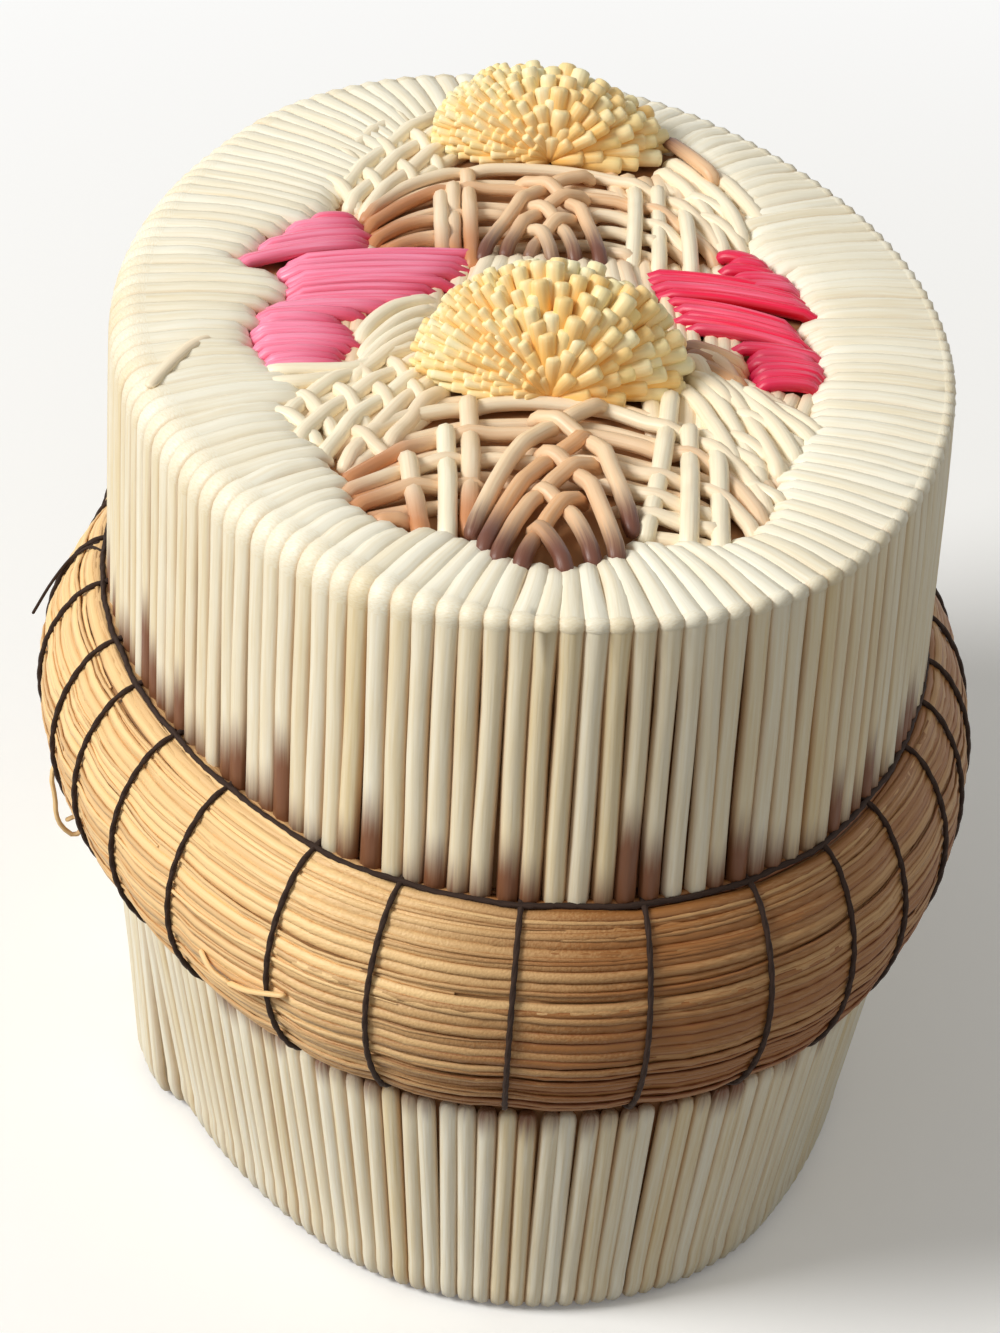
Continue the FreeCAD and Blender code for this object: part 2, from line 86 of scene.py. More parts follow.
# Patches of quills laid side by side: near line from first to second point, far line from
# third to fourth
PINK_LEFT_SHARES = [
    [(-0.455, 0.355), (-0.45, 0.255), (-0.61, 0.34), (-0.76, 0.16)],
    [(-0.17, 0.235), (-0.295, 0.05), (-0.645, 0.18), (-0.625, 0.01)],
    [(-0.395, 0.025), (-0.475, -0.045), (-0.685, -0.01), (-0.70, -0.05)],
    [(-0.465, -0.075), (-0.475, -0.20), (-0.71, -0.08), (-0.67, -0.215)]]
PINK_RIGHT_SHARES = [
    [(0.425, 0.28), (0.435, 0.165), (0.52, 0.25), (0.605, 0.16)],
    [(0.21, 0.20), (0.265, 0.125), (0.61, 0.145), (0.64, 0.065)],
    [(0.27, 0.10), (0.315, 0.005), (0.585, 0.02), (0.62, -0.07)],
    [(0.45, -0.06), (0.47, -0.195), (0.635, -0.09), (0.64, -0.19)]]
BROWN_ACCENT_SHARES = [[(0.315, -0.06), (0.325, -0.115), (0.455, -0.13), (0.45, -0.205)]]
WHITE_FILL_SHARES = [[(-0.14, 0.26), (0.17, 0.26), (-0.22, -0.07), (0.22, -0.07)]]
LOW_FILL_SHARES = [
    [(-0.64, -0.30), (-0.45, -0.52), (-0.33, -0.08), (-0.25, -0.28)],
    [(0.46, -0.62), (0.63, -0.34), (0.32, -0.32), (0.41, -0.14)],
    [(-0.60, 0.57), (-0.46, 0.38), (-0.33, 0.88), (-0.22, 0.68)],
    [(0.56, 0.40), (0.43, 0.28), (0.36, 0.69), (0.25, 0.58)],
    [(-0.48, 0.30), (-0.12, 0.30), (-0.50, -0.26), (-0.20, -0.15)],
    [(0.16, 0.28), (0.45, 0.28), (0.20, -0.10), (0.44, -0.22)],
    [(0.46, -0.18), (0.68, -0.20), (0.40, -0.36), (0.62, -0.38)],
    [(0.15, 0.63), (0.36, 0.61), (0.19, 0.46), (0.37, 0.44)],
    [(0.23, -0.19), (0.40, -0.21), (0.24, -0.36), (0.38, -0.36)]]

# Single quills of the design, each with its tone, the length of its brown root in millimetres,
# and its places from the root end on
FRONT_ARCH_SHARES = [
    (0.22, 0, [(-0.45, -0.45), (-0.355, -0.37), (-0.255, -0.335), (-0.16, -0.31), (-0.07, -0.295),
               (0.02, -0.295), (0.135, -0.31), (0.23, -0.35), (0.34, -0.40), (0.43, -0.49), (0.49, -0.62)]),
    (0.60, 9, [(-0.475, -0.595), (-0.38, -0.51), (-0.305, -0.46), (-0.225, -0.42), (-0.115, -0.405),
               (-0.015, -0.40), (0.11, -0.40), (0.235, -0.43), (0.345, -0.46), (0.42, -0.545),
               (0.475, -0.65)]),
    (0.35, 2, [(-0.475, -0.62), (-0.38, -0.565), (-0.315, -0.525), (-0.235, -0.505), (-0.135, -0.49),
               (-0.045, -0.495), (0.085, -0.485), (0.22, -0.52), (0.33, -0.545), (0.405, -0.61),
               (0.455, -0.685)]),
    (0.70, 4, [(-0.455, -0.665), (-0.365, -0.62), (-0.30, -0.595), (-0.225, -0.58), (-0.135, -0.575)]),
    (0.25, 0, [(0.085, -0.54), (0.155, -0.565), (0.22, -0.59), (0.305, -0.61), (0.37, -0.645)]),
    (0.80, 2, [(-0.40, -0.70), (-0.30, -0.69)]),
    (0.20, 0, [(0.17, -0.64), (0.285, -0.66), (0.38, -0.69)])]
FRONT_LOW_ARCH_SHARES = [
    (0.45, 5, [(-0.465, -0.525), (-0.365, -0.44), (-0.28, -0.40), (-0.19, -0.365), (-0.09, -0.35),
               (0.0, -0.345), (0.12, -0.355), (0.23, -0.39), (0.345, -0.43), (0.425, -0.52),
               (0.485, -0.635)]),
    (0.50, 6, [(-0.475, -0.61), (-0.38, -0.54), (-0.31, -0.49), (-0.23, -0.46), (-0.125, -0.445),
               (-0.03, -0.445), (0.10, -0.44), (0.23, -0.475), (0.34, -0.50), (0.41, -0.58),
               (0.465, -0.67)]),
    (0.60, 5, [(-0.465, -0.64), (-0.37, -0.59), (-0.31, -0.56), (-0.23, -0.54), (-0.135, -0.53),
               (-0.03, -0.55), (0.10, -0.52), (0.20, -0.545), (0.31, -0.575), (0.39, -0.64)]),
    (0.60, 3, [(-0.43, -0.685), (-0.34, -0.655), (-0.27, -0.635), (-0.19, -0.62), (-0.10, -0.62)]),
    (0.25, 0, [(0.12, -0.60), (0.22, -0.62), (0.30, -0.635), (0.38, -0.67)]),
    (0.25, 0, [(0.18, -0.685), (0.29, -0.70), (0.37, -0.715)]),
    (0.35, 0, [(-0.46, -0.40), (-0.36, -0.33), (-0.26, -0.295), (-0.16, -0.27), (-0.07, -0.26),
               (0.02, -0.26), (0.14, -0.275), (0.24, -0.31), (0.35, -0.36), (0.45, -0.45)])]
FRONT_UPRIGHT_SHARES = [
    (0.30, 5, [(-0.28, -0.74), (-0.305, -0.605), (-0.325, -0.48)]),
    (0.02, 0, [(-0.225, -0.74), (-0.23, -0.565), (-0.24, -0.39)]),
    (0.32, 6, [(-0.18, -0.72), (-0.18, -0.50), (-0.19, -0.29)]),
    (0.05, 0, [(0.205, -0.71), (0.235, -0.565), (0.26, -0.40), (0.28, -0.225)]),
    (0.08, 0, [(0.30, -0.73), (0.31, -0.53), (0.315, -0.35)]),
    (0.04, 0, [(0.37, -0.745), (0.375, -0.555), (0.375, -0.41)])]
FRONT_LEFT_CHEVRON_SHARES = [
    (0.28, 3, [(-0.175, -0.745), (-0.12, -0.585), (-0.07, -0.48), (0.02, -0.385), (0.125, -0.30)]),
    (0.75, 5, [(-0.15, -0.795), (-0.11, -0.69), (-0.07, -0.605), (0.0, -0.505), (0.09, -0.42)]),
    (0.60, 4, [(-0.12, -0.82), (-0.08, -0.72), (-0.035, -0.635), (0.03, -0.555), (0.11, -0.50)]),
    (0.75, 4, [(-0.07, -0.84), (-0.035, -0.755), (0.01, -0.675), (0.075, -0.61)])]
FRONT_RIGHT_CHEVRON_SHARES = [
    (0.35, 4, [(0.18, -0.71), (0.14, -0.555), (0.10, -0.46), (0.03, -0.40), (-0.045, -0.36)]),
    (0.50, 3, [(0.145, -0.80), (0.12, -0.70), (0.09, -0.61), (0.04, -0.53), (-0.035, -0.48)]),
    (0.50, 4, [(0.095, -0.815), (0.06, -0.72), (0.02, -0.65), (-0.04, -0.605)]),
    (0.65, 5, [(0.035, -0.845), (0.0, -0.775), (-0.045, -0.725)])]
FRONT_DIAGONAL_SHARES = [
    (0.08, 0, [(-0.62, -0.41), (-0.585, -0.345), (-0.52, -0.27), (-0.42, -0.185), (-0.29, -0.09)]),
    (0.12, 0, [(-0.58, -0.465), (-0.53, -0.39), (-0.47, -0.31), (-0.385, -0.225), (-0.28, -0.125)]),
    (0.06, 0, [(-0.52, -0.515), (-0.475, -0.425), (-0.425, -0.35), (-0.36, -0.27), (-0.27, -0.17)]),
    (0.25, 0, [(-0.465, -0.52), (-0.41, -0.42), (-0.36, -0.35), (-0.32, -0.28), (-0.26, -0.21)]),
    (0.30, 0, [(-0.375, -0.46), (-0.325, -0.375), (-0.29, -0.31), (-0.24, -0.25)]),
    (0.14, 0, [(0.425, -0.48), (0.38, -0.365), (0.345, -0.275), (0.295, -0.20)]),
    (0.10, 0, [(0.475, -0.52), (0.44, -0.405), (0.395, -0.285), (0.325, -0.165)]),
    (0.16, 0, [(0.515, -0.495), (0.48, -0.38), (0.43, -0.26), (0.355, -0.135)]),
    (0.08, 0, [(0.56, -0.445), (0.525, -0.365), (0.47, -0.27), (0.39, -0.15)]),
    (0.12, 0, [(0.61, -0.405), (0.575, -0.35), (0.515, -0.29), (0.435, -0.19)])]
FRONT_CROSSING_SHARES = [
    (0.15, 0, [(-0.585, -0.29), (-0.53, -0.35), (-0.485, -0.43)]),
    (0.12, 0, [(-0.52, -0.235), (-0.46, -0.31), (-0.41, -0.41)]),
    (0.20, 0, [(-0.465, -0.175), (-0.395, -0.27), (-0.34, -0.38)]),
    (0.22, 0, [(-0.395, -0.135), (-0.335, -0.225), (-0.28, -0.325)]),
    (0.10, 0, [(-0.64, -0.355), (-0.57, -0.395), (-0.515, -0.465)]),
    (0.30, 0, [(-0.46, -0.39), (-0.405, -0.45), (-0.36, -0.49)]),
    (0.14, 0, [(0.33, -0.35), (0.405, -0.415), (0.49, -0.49)]),
    (0.10, 0, [(0.415, -0.285), (0.50, -0.335), (0.585, -0.405)]),
    (0.18, 0, [(0.395, -0.355), (0.475, -0.42), (0.535, -0.49)]),
    (0.12, 0, [(0.425, -0.515), (0.475, -0.55), (0.53, -0.585)]),
    (0.08, 0, [(0.455, -0.235), (0.55, -0.285), (0.63, -0.36)])]
BACK_ARCH_SHARES = [
    (0.30, 3, [(-0.465, 0.375), (-0.375, 0.485), (-0.28, 0.55), (-0.18, 0.58), (-0.05, 0.59),
               (0.075, 0.58), (0.20, 0.545), (0.30, 0.49), (0.385, 0.39), (0.425, 0.29)]),
    (0.75, 12, [(-0.465, 0.315), (-0.375, 0.415), (-0.29, 0.475), (-0.20, 0.495), (-0.075, 0.50),
                (0.06, 0.485), (0.20, 0.47), (0.30, 0.415), (0.37, 0.335), (0.41, 0.255)]),
    (0.55, 8, [(-0.45, 0.26), (-0.37, 0.33), (-0.285, 0.37), (-0.185, 0.40), (-0.08, 0.40)]),
    (0.25, 0, [(0.09, 0.43), (0.20, 0.405), (0.285, 0.36), (0.355, 0.28)]),
    (0.60, 5, [(-0.415, 0.23), (-0.33, 0.28), (-0.25, 0.30)]),
    (0.25, 0, [(0.09, 0.36), (0.195, 0.345), (0.28, 0.31)]),
    (0.45, 0, [(0.11, 0.28), (0.215, 0.25)])]
BACK_LOW_ARCH_SHARES = [
    (0.45, 6, [(-0.465, 0.345), (-0.375, 0.45), (-0.285, 0.515), (-0.19, 0.54), (-0.06, 0.545),
               (0.07, 0.535), (0.20, 0.51), (0.30, 0.455), (0.38, 0.365), (0.42, 0.27)]),
    (0.50, 6, [(-0.455, 0.285), (-0.37, 0.37), (-0.29, 0.42), (-0.19, 0.45), (-0.08, 0.45),
               (0.075, 0.455), (0.20, 0.435), (0.29, 0.385), (0.36, 0.305)]),
    (0.55, 5, [(-0.43, 0.245), (-0.35, 0.305), (-0.27, 0.335), (-0.18, 0.35), (-0.08, 0.36),
               (0.05, 0.37), (0.195, 0.375), (0.285, 0.335), (0.35, 0.265)]),
    (0.30, 0, [(-0.20, 0.25), (-0.10, 0.29), (0.09, 0.32), (0.20, 0.30), (0.28, 0.27)])]
BACK_UPRIGHT_SHARES = [
    (0.35, 3, [(-0.26, 0.21), (-0.27, 0.36), (-0.275, 0.51)]),
    (0.45, 4, [(-0.235, 0.22), (-0.24, 0.365), (-0.245, 0.51)]),
    (0.55, 7, [(-0.19, 0.20), (-0.20, 0.385), (-0.21, 0.575)]),
    (0.06, 0, [(0.20, 0.225), (0.21, 0.38), (0.215, 0.55)]),
    (0.10, 0, [(0.265, 0.205), (0.27, 0.365), (0.27, 0.535)]),
    (0.06, 0, [(0.345, 0.195), (0.34, 0.33), (0.335, 0.475)])]
BACK_LEFT_CHEVRON_SHARES = [
    (0.50, 4, [(-0.17, 0.21), (-0.115, 0.335), (-0.065, 0.425), (0.01, 0.505), (0.11, 0.555)]),
    (0.55, 3, [(-0.115, 0.225), (-0.065, 0.33), (0.0, 0.415), (0.095, 0.47)]),
    (0.45, 2, [(-0.055, 0.225), (0.0, 0.32), (0.08, 0.38)])]
BACK_RIGHT_CHEVRON_SHARES = [
    (0.50, 5, [(0.125, 0.205), (0.10, 0.31), (0.06, 0.405), (0.0, 0.48), (-0.085, 0.515)]),
    (0.40, 3, [(0.065, 0.215), (0.035, 0.305), (-0.005, 0.375), (-0.085, 0.42)]),
    (0.35, 2, [(0.01, 0.21), (-0.025, 0.285), (-0.085, 0.33)])]
BACK_DIAGONAL_SHARES = [
    (0.10, 0, [(-0.555, 0.545), (-0.48, 0.675), (-0.40, 0.78), (-0.315, 0.875)]),
    (0.06, 0, [(-0.535, 0.455), (-0.46, 0.59), (-0.385, 0.705), (-0.29, 0.825)]),
    (0.12, 0, [(-0.505, 0.405), (-0.43, 0.545), (-0.36, 0.65), (-0.275, 0.765)]),
    (0.18, 0, [(-0.465, 0.385), (-0.40, 0.50), (-0.33, 0.605), (-0.255, 0.705)]),
    (0.12, 0, [(0.43, 0.29), (0.405, 0.405), (0.355, 0.525), (0.275, 0.63)]),
    (0.10, 0, [(0.48, 0.34), (0.45, 0.45), (0.395, 0.56), (0.30, 0.675)]),
    (0.14, 0, [(0.545, 0.375), (0.505, 0.47), (0.44, 0.575), (0.35, 0.67)])]
BACK_CROSSING_SHARES = [
    (0.10, 0, [(-0.545, 0.64), (-0.475, 0.56), (-0.41, 0.46)]),
    (0.14, 0, [(-0.485, 0.74), (-0.405, 0.63), (-0.335, 0.515)]),
    (0.08, 0, [(-0.415, 0.815), (-0.34, 0.705), (-0.275, 0.58)]),
    (0.12, 0, [(-0.605, 0.55), (-0.53, 0.485), (-0.47, 0.405)]),
    (0.12, 0, [(0.34, 0.515), (0.415, 0.475), (0.485, 0.41)]),
    (0.10, 0, [(0.395, 0.585), (0.48, 0.545), (0.555, 0.465)]),
    (0.15, 0, [(0.365, 0.435), (0.425, 0.395), (0.485, 0.315)])]
PALE_FILL_SHARES = [
    (0.05, 0, [(-0.455, -0.11), (-0.42, -0.04), (-0.36, 0.025), (-0.27, 0.07)]),
    (0.10, 0, [(-0.445, -0.16), (-0.40, -0.09), (-0.345, -0.02), (-0.27, 0.035)]),
    (0.06, 0, [(-0.45, -0.21), (-0.40, -0.13), (-0.35, -0.07), (-0.285, -0.01)]),
    (0.12, 0, [(-0.47, -0.25), (-0.41, -0.185), (-0.36, -0.12), (-0.295, -0.055)]),
    (0.30, 0, [(0.37, -0.20), (0.35, -0.14), (0.315, -0.10)]),
    (0.55, 3, [(0.44, -0.22), (0.40, -0.135), (0.34, -0.08)]),
    (0.15, 0, [(0.425, -0.28), (0.375, -0.21), (0.315, -0.16)]),
    (0.05, 0, [(-0.66, -0.22), (-0.60, -0.225), (-0.46, -0.21), (-0.38, -0.15)]),
    (0.10, 0, [(-0.66, -0.265), (-0.57, -0.265), (-0.46, -0.225)])]

# Stitches that show from the front, as shares of the way round the outline at their upper ends
FRONT_STITCH_SHARES = [
    0.498, 0.533, 0.560, 0.591, 0.623, 0.663, 0.693, 0.7285, 0.764, 0.798, 0.829, 0.857, 0.8915,
    0.9195, 0.944]
BACK_STITCH_COUNT = 17

# The thread along the joint of bundle and lid, as a share of the way down the bundle's section, and
# the place where the bundle's two ends meet, as a share of the way round
# The joint's thread is real, and is laid a little thick so that it also paints the shade in that joint.
JUNCTION_DOWN_SHARE = 0.064
ENDS_MEET_SHARE = 0.428
ENDS_MEET_BREADTH_SHARE = 0.030


def from_srgb(red, green, blue):
    """A linear colour from the 0 to 255 values that a picture would show."""
    linear = []
    for value in (red, green, blue):
        value /= 255
        linear.append(value / 12.92 if value <= 0.04045 else ((value + 0.055) / 1.055) ** 2.4)
    return (*linear, 1.0)


def size_property(name, description, default):
    return FloatProperty(name=name, description=description, default=default, min=0.0, unit="LENGTH",
                         precision=5)


def colour_property(name, description, default):
    return FloatVectorProperty(name=name, description=description, default=default, size=4,
                               subtype="COLOR", min=0.0, max=1.0)


class QuillSizes(bpy.types.PropertyGroup):
    """Sizes of the quills, the grass and the thread"""
    end_tightness: FloatProperty(
        name="End tightness", description="How much tighter the oval's ends are than a circle", default=0.5)
    design_turn: FloatProperty(
        name="Design turn", description="Turn of the top's design from the long axis",
        default=math.radians(7.6), subtype="ANGLE")
    design_shift: size_property("Design shift", "How far the design sits to the right of the axis", 0.0018)
    border_count: IntProperty(name="Border quills", description="Quills round the lid", default=141, min=12)
    base_count: IntProperty(name="Base quills", description="Quills round the base", default=162, min=12)
    quill_depth: size_property("Quill depth", "Half the thickness of a lid quill", 0.00085)
    base_quill_depth: size_property("Base quill depth", "Half the thickness of a base quill", 0.00068)
    base_inset: size_property("Base inset", "How far the base leans in at the floor", 0.0042)
    design_width: size_property("Design quill width", "Half the width of a quill in the design", 0.00068)
    blade_width: size_property("Blade width", "Half the width of a broad sweetgrass blade", 0.00056)
    grass_edge: size_property("Bundle edge", "Radius of the bundle's upper and lower edges", 0.0046)
    thread_radius: size_property("Thread radius", "Radius of the dark sewing thread", 0.00026)
    tuft_quill: size_property("Tuft quill", "Radius of a tuft quill at its cut end", 0.00052)


class QuillColours(bpy.types.PropertyGroup):
    """Colours of the box"""
    cream: colour_property("Cream", "Palest quill", from_srgb(255, 250, 232))
    straw: colour_property("Straw", "Warmest undyed quill", from_srgb(232, 208, 156))
    root: colour_property("Root", "Dark end of an undyed quill", from_srgb(128, 82, 54))
    tan: colour_property("Tan", "Brown-tipped quill of the lattices", from_srgb(232, 180, 130))
    pink: colour_property("Pink", "Palest dyed quill", from_srgb(255, 152, 184))
    deep_pink: colour_property("Deep pink", "Darkest dyed quill", from_srgb(244, 14, 70))
    # Painted shade: the warm glow of shade deep among a tuft's quills, laid along their feet.
    amber_shade: colour_property("Amber", "Shaded foot of a tuft quill", from_srgb(255, 199, 108))
    tuft: colour_property("Tuft", "Cut end of a tuft quill", from_srgb(255, 248, 208))
    grass: colour_property("Sweetgrass", "Pale grass blade", from_srgb(255, 216, 156))
    # The darker grass colour, also used for the painted shade on the bundle
    brown_grass_and_shade: colour_property("Brown sweetgrass", "Darker grass blade", from_srgb(158, 105, 55))
    thread: colour_property("Thread", "Dark sewing thread", from_srgb(54, 34, 22))
    bark: colour_property("Bark", "Inner face of birch bark", from_srgb(196, 142, 92))
    dark_bark: colour_property("Dark bark", "Bark under the quills", from_srgb(186, 136, 90))


class QuillBoxSettings(bpy.types.PropertyGroup):
    """All values that a user would change"""
    sizes: PointerProperty(type=QuillSizes)
    colours: PointerProperty(type=QuillColours)


def sizes():
    return bpy.context.scene.quill_box.sizes


def colours():
    return bpy.context.scene.quill_box.colours


# Outline


@functools.cache
def oval_arcs():
    """Centre, radius, start angle and span of each arc of the lid's outline, anticlockwise."""
    end_radius = HALF_WIDTH - sizes().end_tightness * (HALF_LENGTH - HALF_WIDTH)
    end_centre = HALF_LENGTH - end_radius
    side_radius = (HALF_WIDTH ** 2 + end_centre ** 2 - end_radius ** 2) / (2 * (HALF_WIDTH - end_radius))
    side_centre = side_radius - HALF_WIDTH
    side_angle = math.atan2(end_centre, side_centre)
    end_span = math.pi - 2 * side_angle
    return [
        ((-side_centre, 0), side_radius, -side_angle, 2 * side_angle),
        ((0, end_centre), end_radius, side_angle, end_span),
        ((side_centre, 0), side_radius, math.pi - side_angle, 2 * side_angle),
        ((0, -end_centre), end_radius, math.pi + side_angle, end_span)]


@functools.cache
def oval_length():
    return sum(radius * span for centre, radius, start, span in oval_arcs())


def oval_station(share):
    """Point of the outline and its outward direction at a share of the way round."""
    left = ((share % 1) * oval_length() + oval_arcs()[0][1] * oval_arcs()[0][3] / 2) % oval_length()
    for centre, radius, start, span in oval_arcs():
        if left <= radius * span:
            break
        left -= radius * span
    angle = start + left / radius
    outward = Vector((math.cos(angle), math.sin(angle), 0))
    return Vector((*centre, 0)) + outward * radius, outward


def spot(across_share, along_share, height):
    """A place of the top's quillwork, from its own frame to the box's."""
    across = across_share * HALF_WIDTH + sizes().design_shift
    along = along_share * HALF_LENGTH
    turn = sizes().design_turn
    return Vector((across * math.cos(turn) + along * math.sin(turn),
                   along * math.cos(turn) - across * math.sin(turn), height))


def smooth(share):
    share = min(1.0, max(0.0, share))
    return share * share * (3 - 2 * share)


def chain_length(chain):
    """Length of a chain of places."""
    return sum((b - a).length for a, b in zip(chain, chain[1:]))


def directions(points):
    """Unit direction of a chain of points at each of them."""
    steps = np.gradient(points, axis=0)
    return steps / np.linalg.norm(steps, axis=1)[:, None]


def distances(points):
    """Distance along a chain of points to each of them."""
    return np.concatenate([[0], np.cumsum(np.linalg.norm(np.diff(points, axis=0), axis=1))])


# Straws


@functools.cache
def straw_form(sides, rings):
    """A straight closed straw of unit radius along Z, with a ring of corners at each whole height."""
    form = bmesh.new()
    bmesh.ops.create_cone(form, cap_ends=True, cap_tris=False, segments=sides, radius1=1, radius2=1,
                          depth=rings - 1)
    bmesh.ops.translate(form, verts=form.verts, vec=(0, 0, (rings - 1) / 2))
    long_edges = [edge for edge in form.edges if abs(edge.verts[0].co.z - edge.verts[1].co.z) > 0.5]
    if rings > 2:
        bmesh.ops.subdivide_edges(form, edges=long_edges, cuts=rings - 2)
    corners = np.array([vert.co for vert in form.verts])
    return form, corners, np.rint(corners[:, 2]).astype(int)


class StrawPile:
    """Straws gathered into one mesh, with the values along them that the finishes read."""

    def __init__(self):
        self.form = bmesh.new()
        self.scratch = bpy.data.meshes.new("straw")
        self.skins = []
        self.tones = []
        self.roots = []

    def lay(self, points, across, widths, depths, tone=0.5, root=NO_ROOT, sides=8):
        """Bend a straight straw along the points, with across as the direction of its width."""
        points = np.array(points, float)
        ahead = directions(points)
        across = np.broadcast_to(np.array(across, float), points.shape)
        across = across - ahead * np.sum(across * ahead, axis=1)[:, None]
        across = across / np.linalg.norm(across, axis=1)[:, None]
        upward = np.cross(ahead, across)
        template, corners, ring = straw_form(sides, len(points))
        widths = np.broadcast_to(widths, len(points))
        depths = np.broadcast_to(depths, len(points))
        places = (points[ring] + across[ring] * (corners[:, 0] * widths[ring])[:, None]
                  + upward[ring] * (corners[:, 1] * depths[ring])[:, None])
        straw = template.copy()
        for vert, place in zip(straw.verts, places):
            vert.co = place
        straw.to_mesh(self.scratch)
        straw.free()
        self.form.from_mesh(self.scratch)
        run = distances(points) / MM
        self.skins.append(np.column_stack([corners[:, 0], corners[:, 1], run[ring]]))
        self.tones.append(np.broadcast_to(tone, len(points))[ring])
        self.roots.append(np.full(len(places), root))

    def piece(self, name, body, slot, finish, nodes=()):
        """Make the pile one object that rides on a body and stands for some nodes."""
        mesh = bpy.data.meshes.new(name)
        self.form.to_mesh(mesh)
        self.form.free()
        bpy.data.meshes.remove(self.scratch)
        for title, kind, field, values in (
                ("skin", "FLOAT_VECTOR", "vector", self.skins), ("tone", "FLOAT", "value", self.tones),
                ("root", "FLOAT", "value", self.roots)):
            layer = mesh.attributes.new(title, kind, "POINT")
            layer.data.foreach_set(field, np.concatenate(values).astype(np.float32).ravel())
        mesh.shade_smooth()
        mesh.set_sharp_from_angle(angle=math.radians(80))
        return settle(name, mesh, body, finish, nodes)


def settle(name, mesh, body, finish, nodes=()):
    """Link a mesh as a piece of the box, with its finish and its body."""
    piece = bpy.data.objects.new(name, mesh)
    bpy.context.scene.collection.objects.link(piece)
    mesh.materials.append(finish)
    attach(piece, body)
    if nodes:
        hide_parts(*nodes)
    return piece


# Rings of a round end, as shares of its length and of the straw's full size
ROUND_END_SHARES = [(0.0, 0.35), (0.25, 0.78), (0.8, 1.0)]
LONGEST_END_SHARE = 0.3


def straw_rings(length, end_radius, middle):
    """Shares along a straw where its rings lie, each with the size that rounds the ends."""
    end = min(LONGEST_END_SHARE, end_radius / length)
    near = [(share * end, size) for share, size in ROUND_END_SHARES]
    far = [(1 - share, size) for share, size in reversed(near)]
    inner = [(end + (1 - 2 * end) * i / (middle + 1), 1.0) for i in range(1, middle + 1)]
    return near + inner + far


def ring_sizes(rings):
    return np.array([size for share, size in rings])


def lay_curve(pile, place, length, across, half_width, half_depth, middle, **finish):
    """Lay a straw with round ends along a curve given as a function of the share along it."""
    rings = straw_rings(length, half_width, middle)
    grow = ring_sizes(rings)
    pile.lay([place(share) for share, size in rings], across, half_width * grow, half_depth * grow,
             **finish)


# Finishes


def add_node(tree, kind, inputs=None, **settings):
    """Add a shader node, set its own values, and set or link its inputs."""
    made = tree.nodes.new(kind)
    for key, value in settings.items():
        setattr(made, key, value)
    for key, value in (inputs or {}).items():
        if isinstance(value, bpy.types.NodeSocket):
            tree.links.new(value, made.inputs[key])
        else:
            made.inputs[key].default_value = value
    return made


def mix_colour(tree, share, first, second, blend="MIX"):
    """Mix two colours. Sockets 0, 6 and 7 are the factor and the two colours."""
    mixed = add_node(tree, "ShaderNodeMix", {0: share, 6: first, 7: second}, data_type="RGBA",
                     blend_type=blend)
    return mixed.outputs[2]


def calculate(tree, operation, first, second=0.0, third=0.0):
    return add_node(tree, "ShaderNodeMath", {0: first, 1: second, 2: third}, operation=operation,
                    use_clamp=False).outputs[0]


def ease(tree, value, low, high, start=0.0, end=1.0):
    return add_node(tree, "ShaderNodeMapRange", {0: value, 1: low, 2: high, 3: start, 4: end},
                    interpolation_type="SMOOTHSTEP").outputs[0]


def group_sockets(group, inputs, outputs):
    for name, kind, default in inputs:
        made = group.interface.new_socket(name=name, in_out="INPUT", socket_type="NodeSocket" + kind)
        if default is not None:
            made.default_value = default
    for name, kind in outputs:
        group.interface.new_socket(name=name, in_out="OUTPUT", socket_type="NodeSocket" + kind)
    return group.nodes.new("NodeGroupInput"), group.nodes.new("NodeGroupOutput")


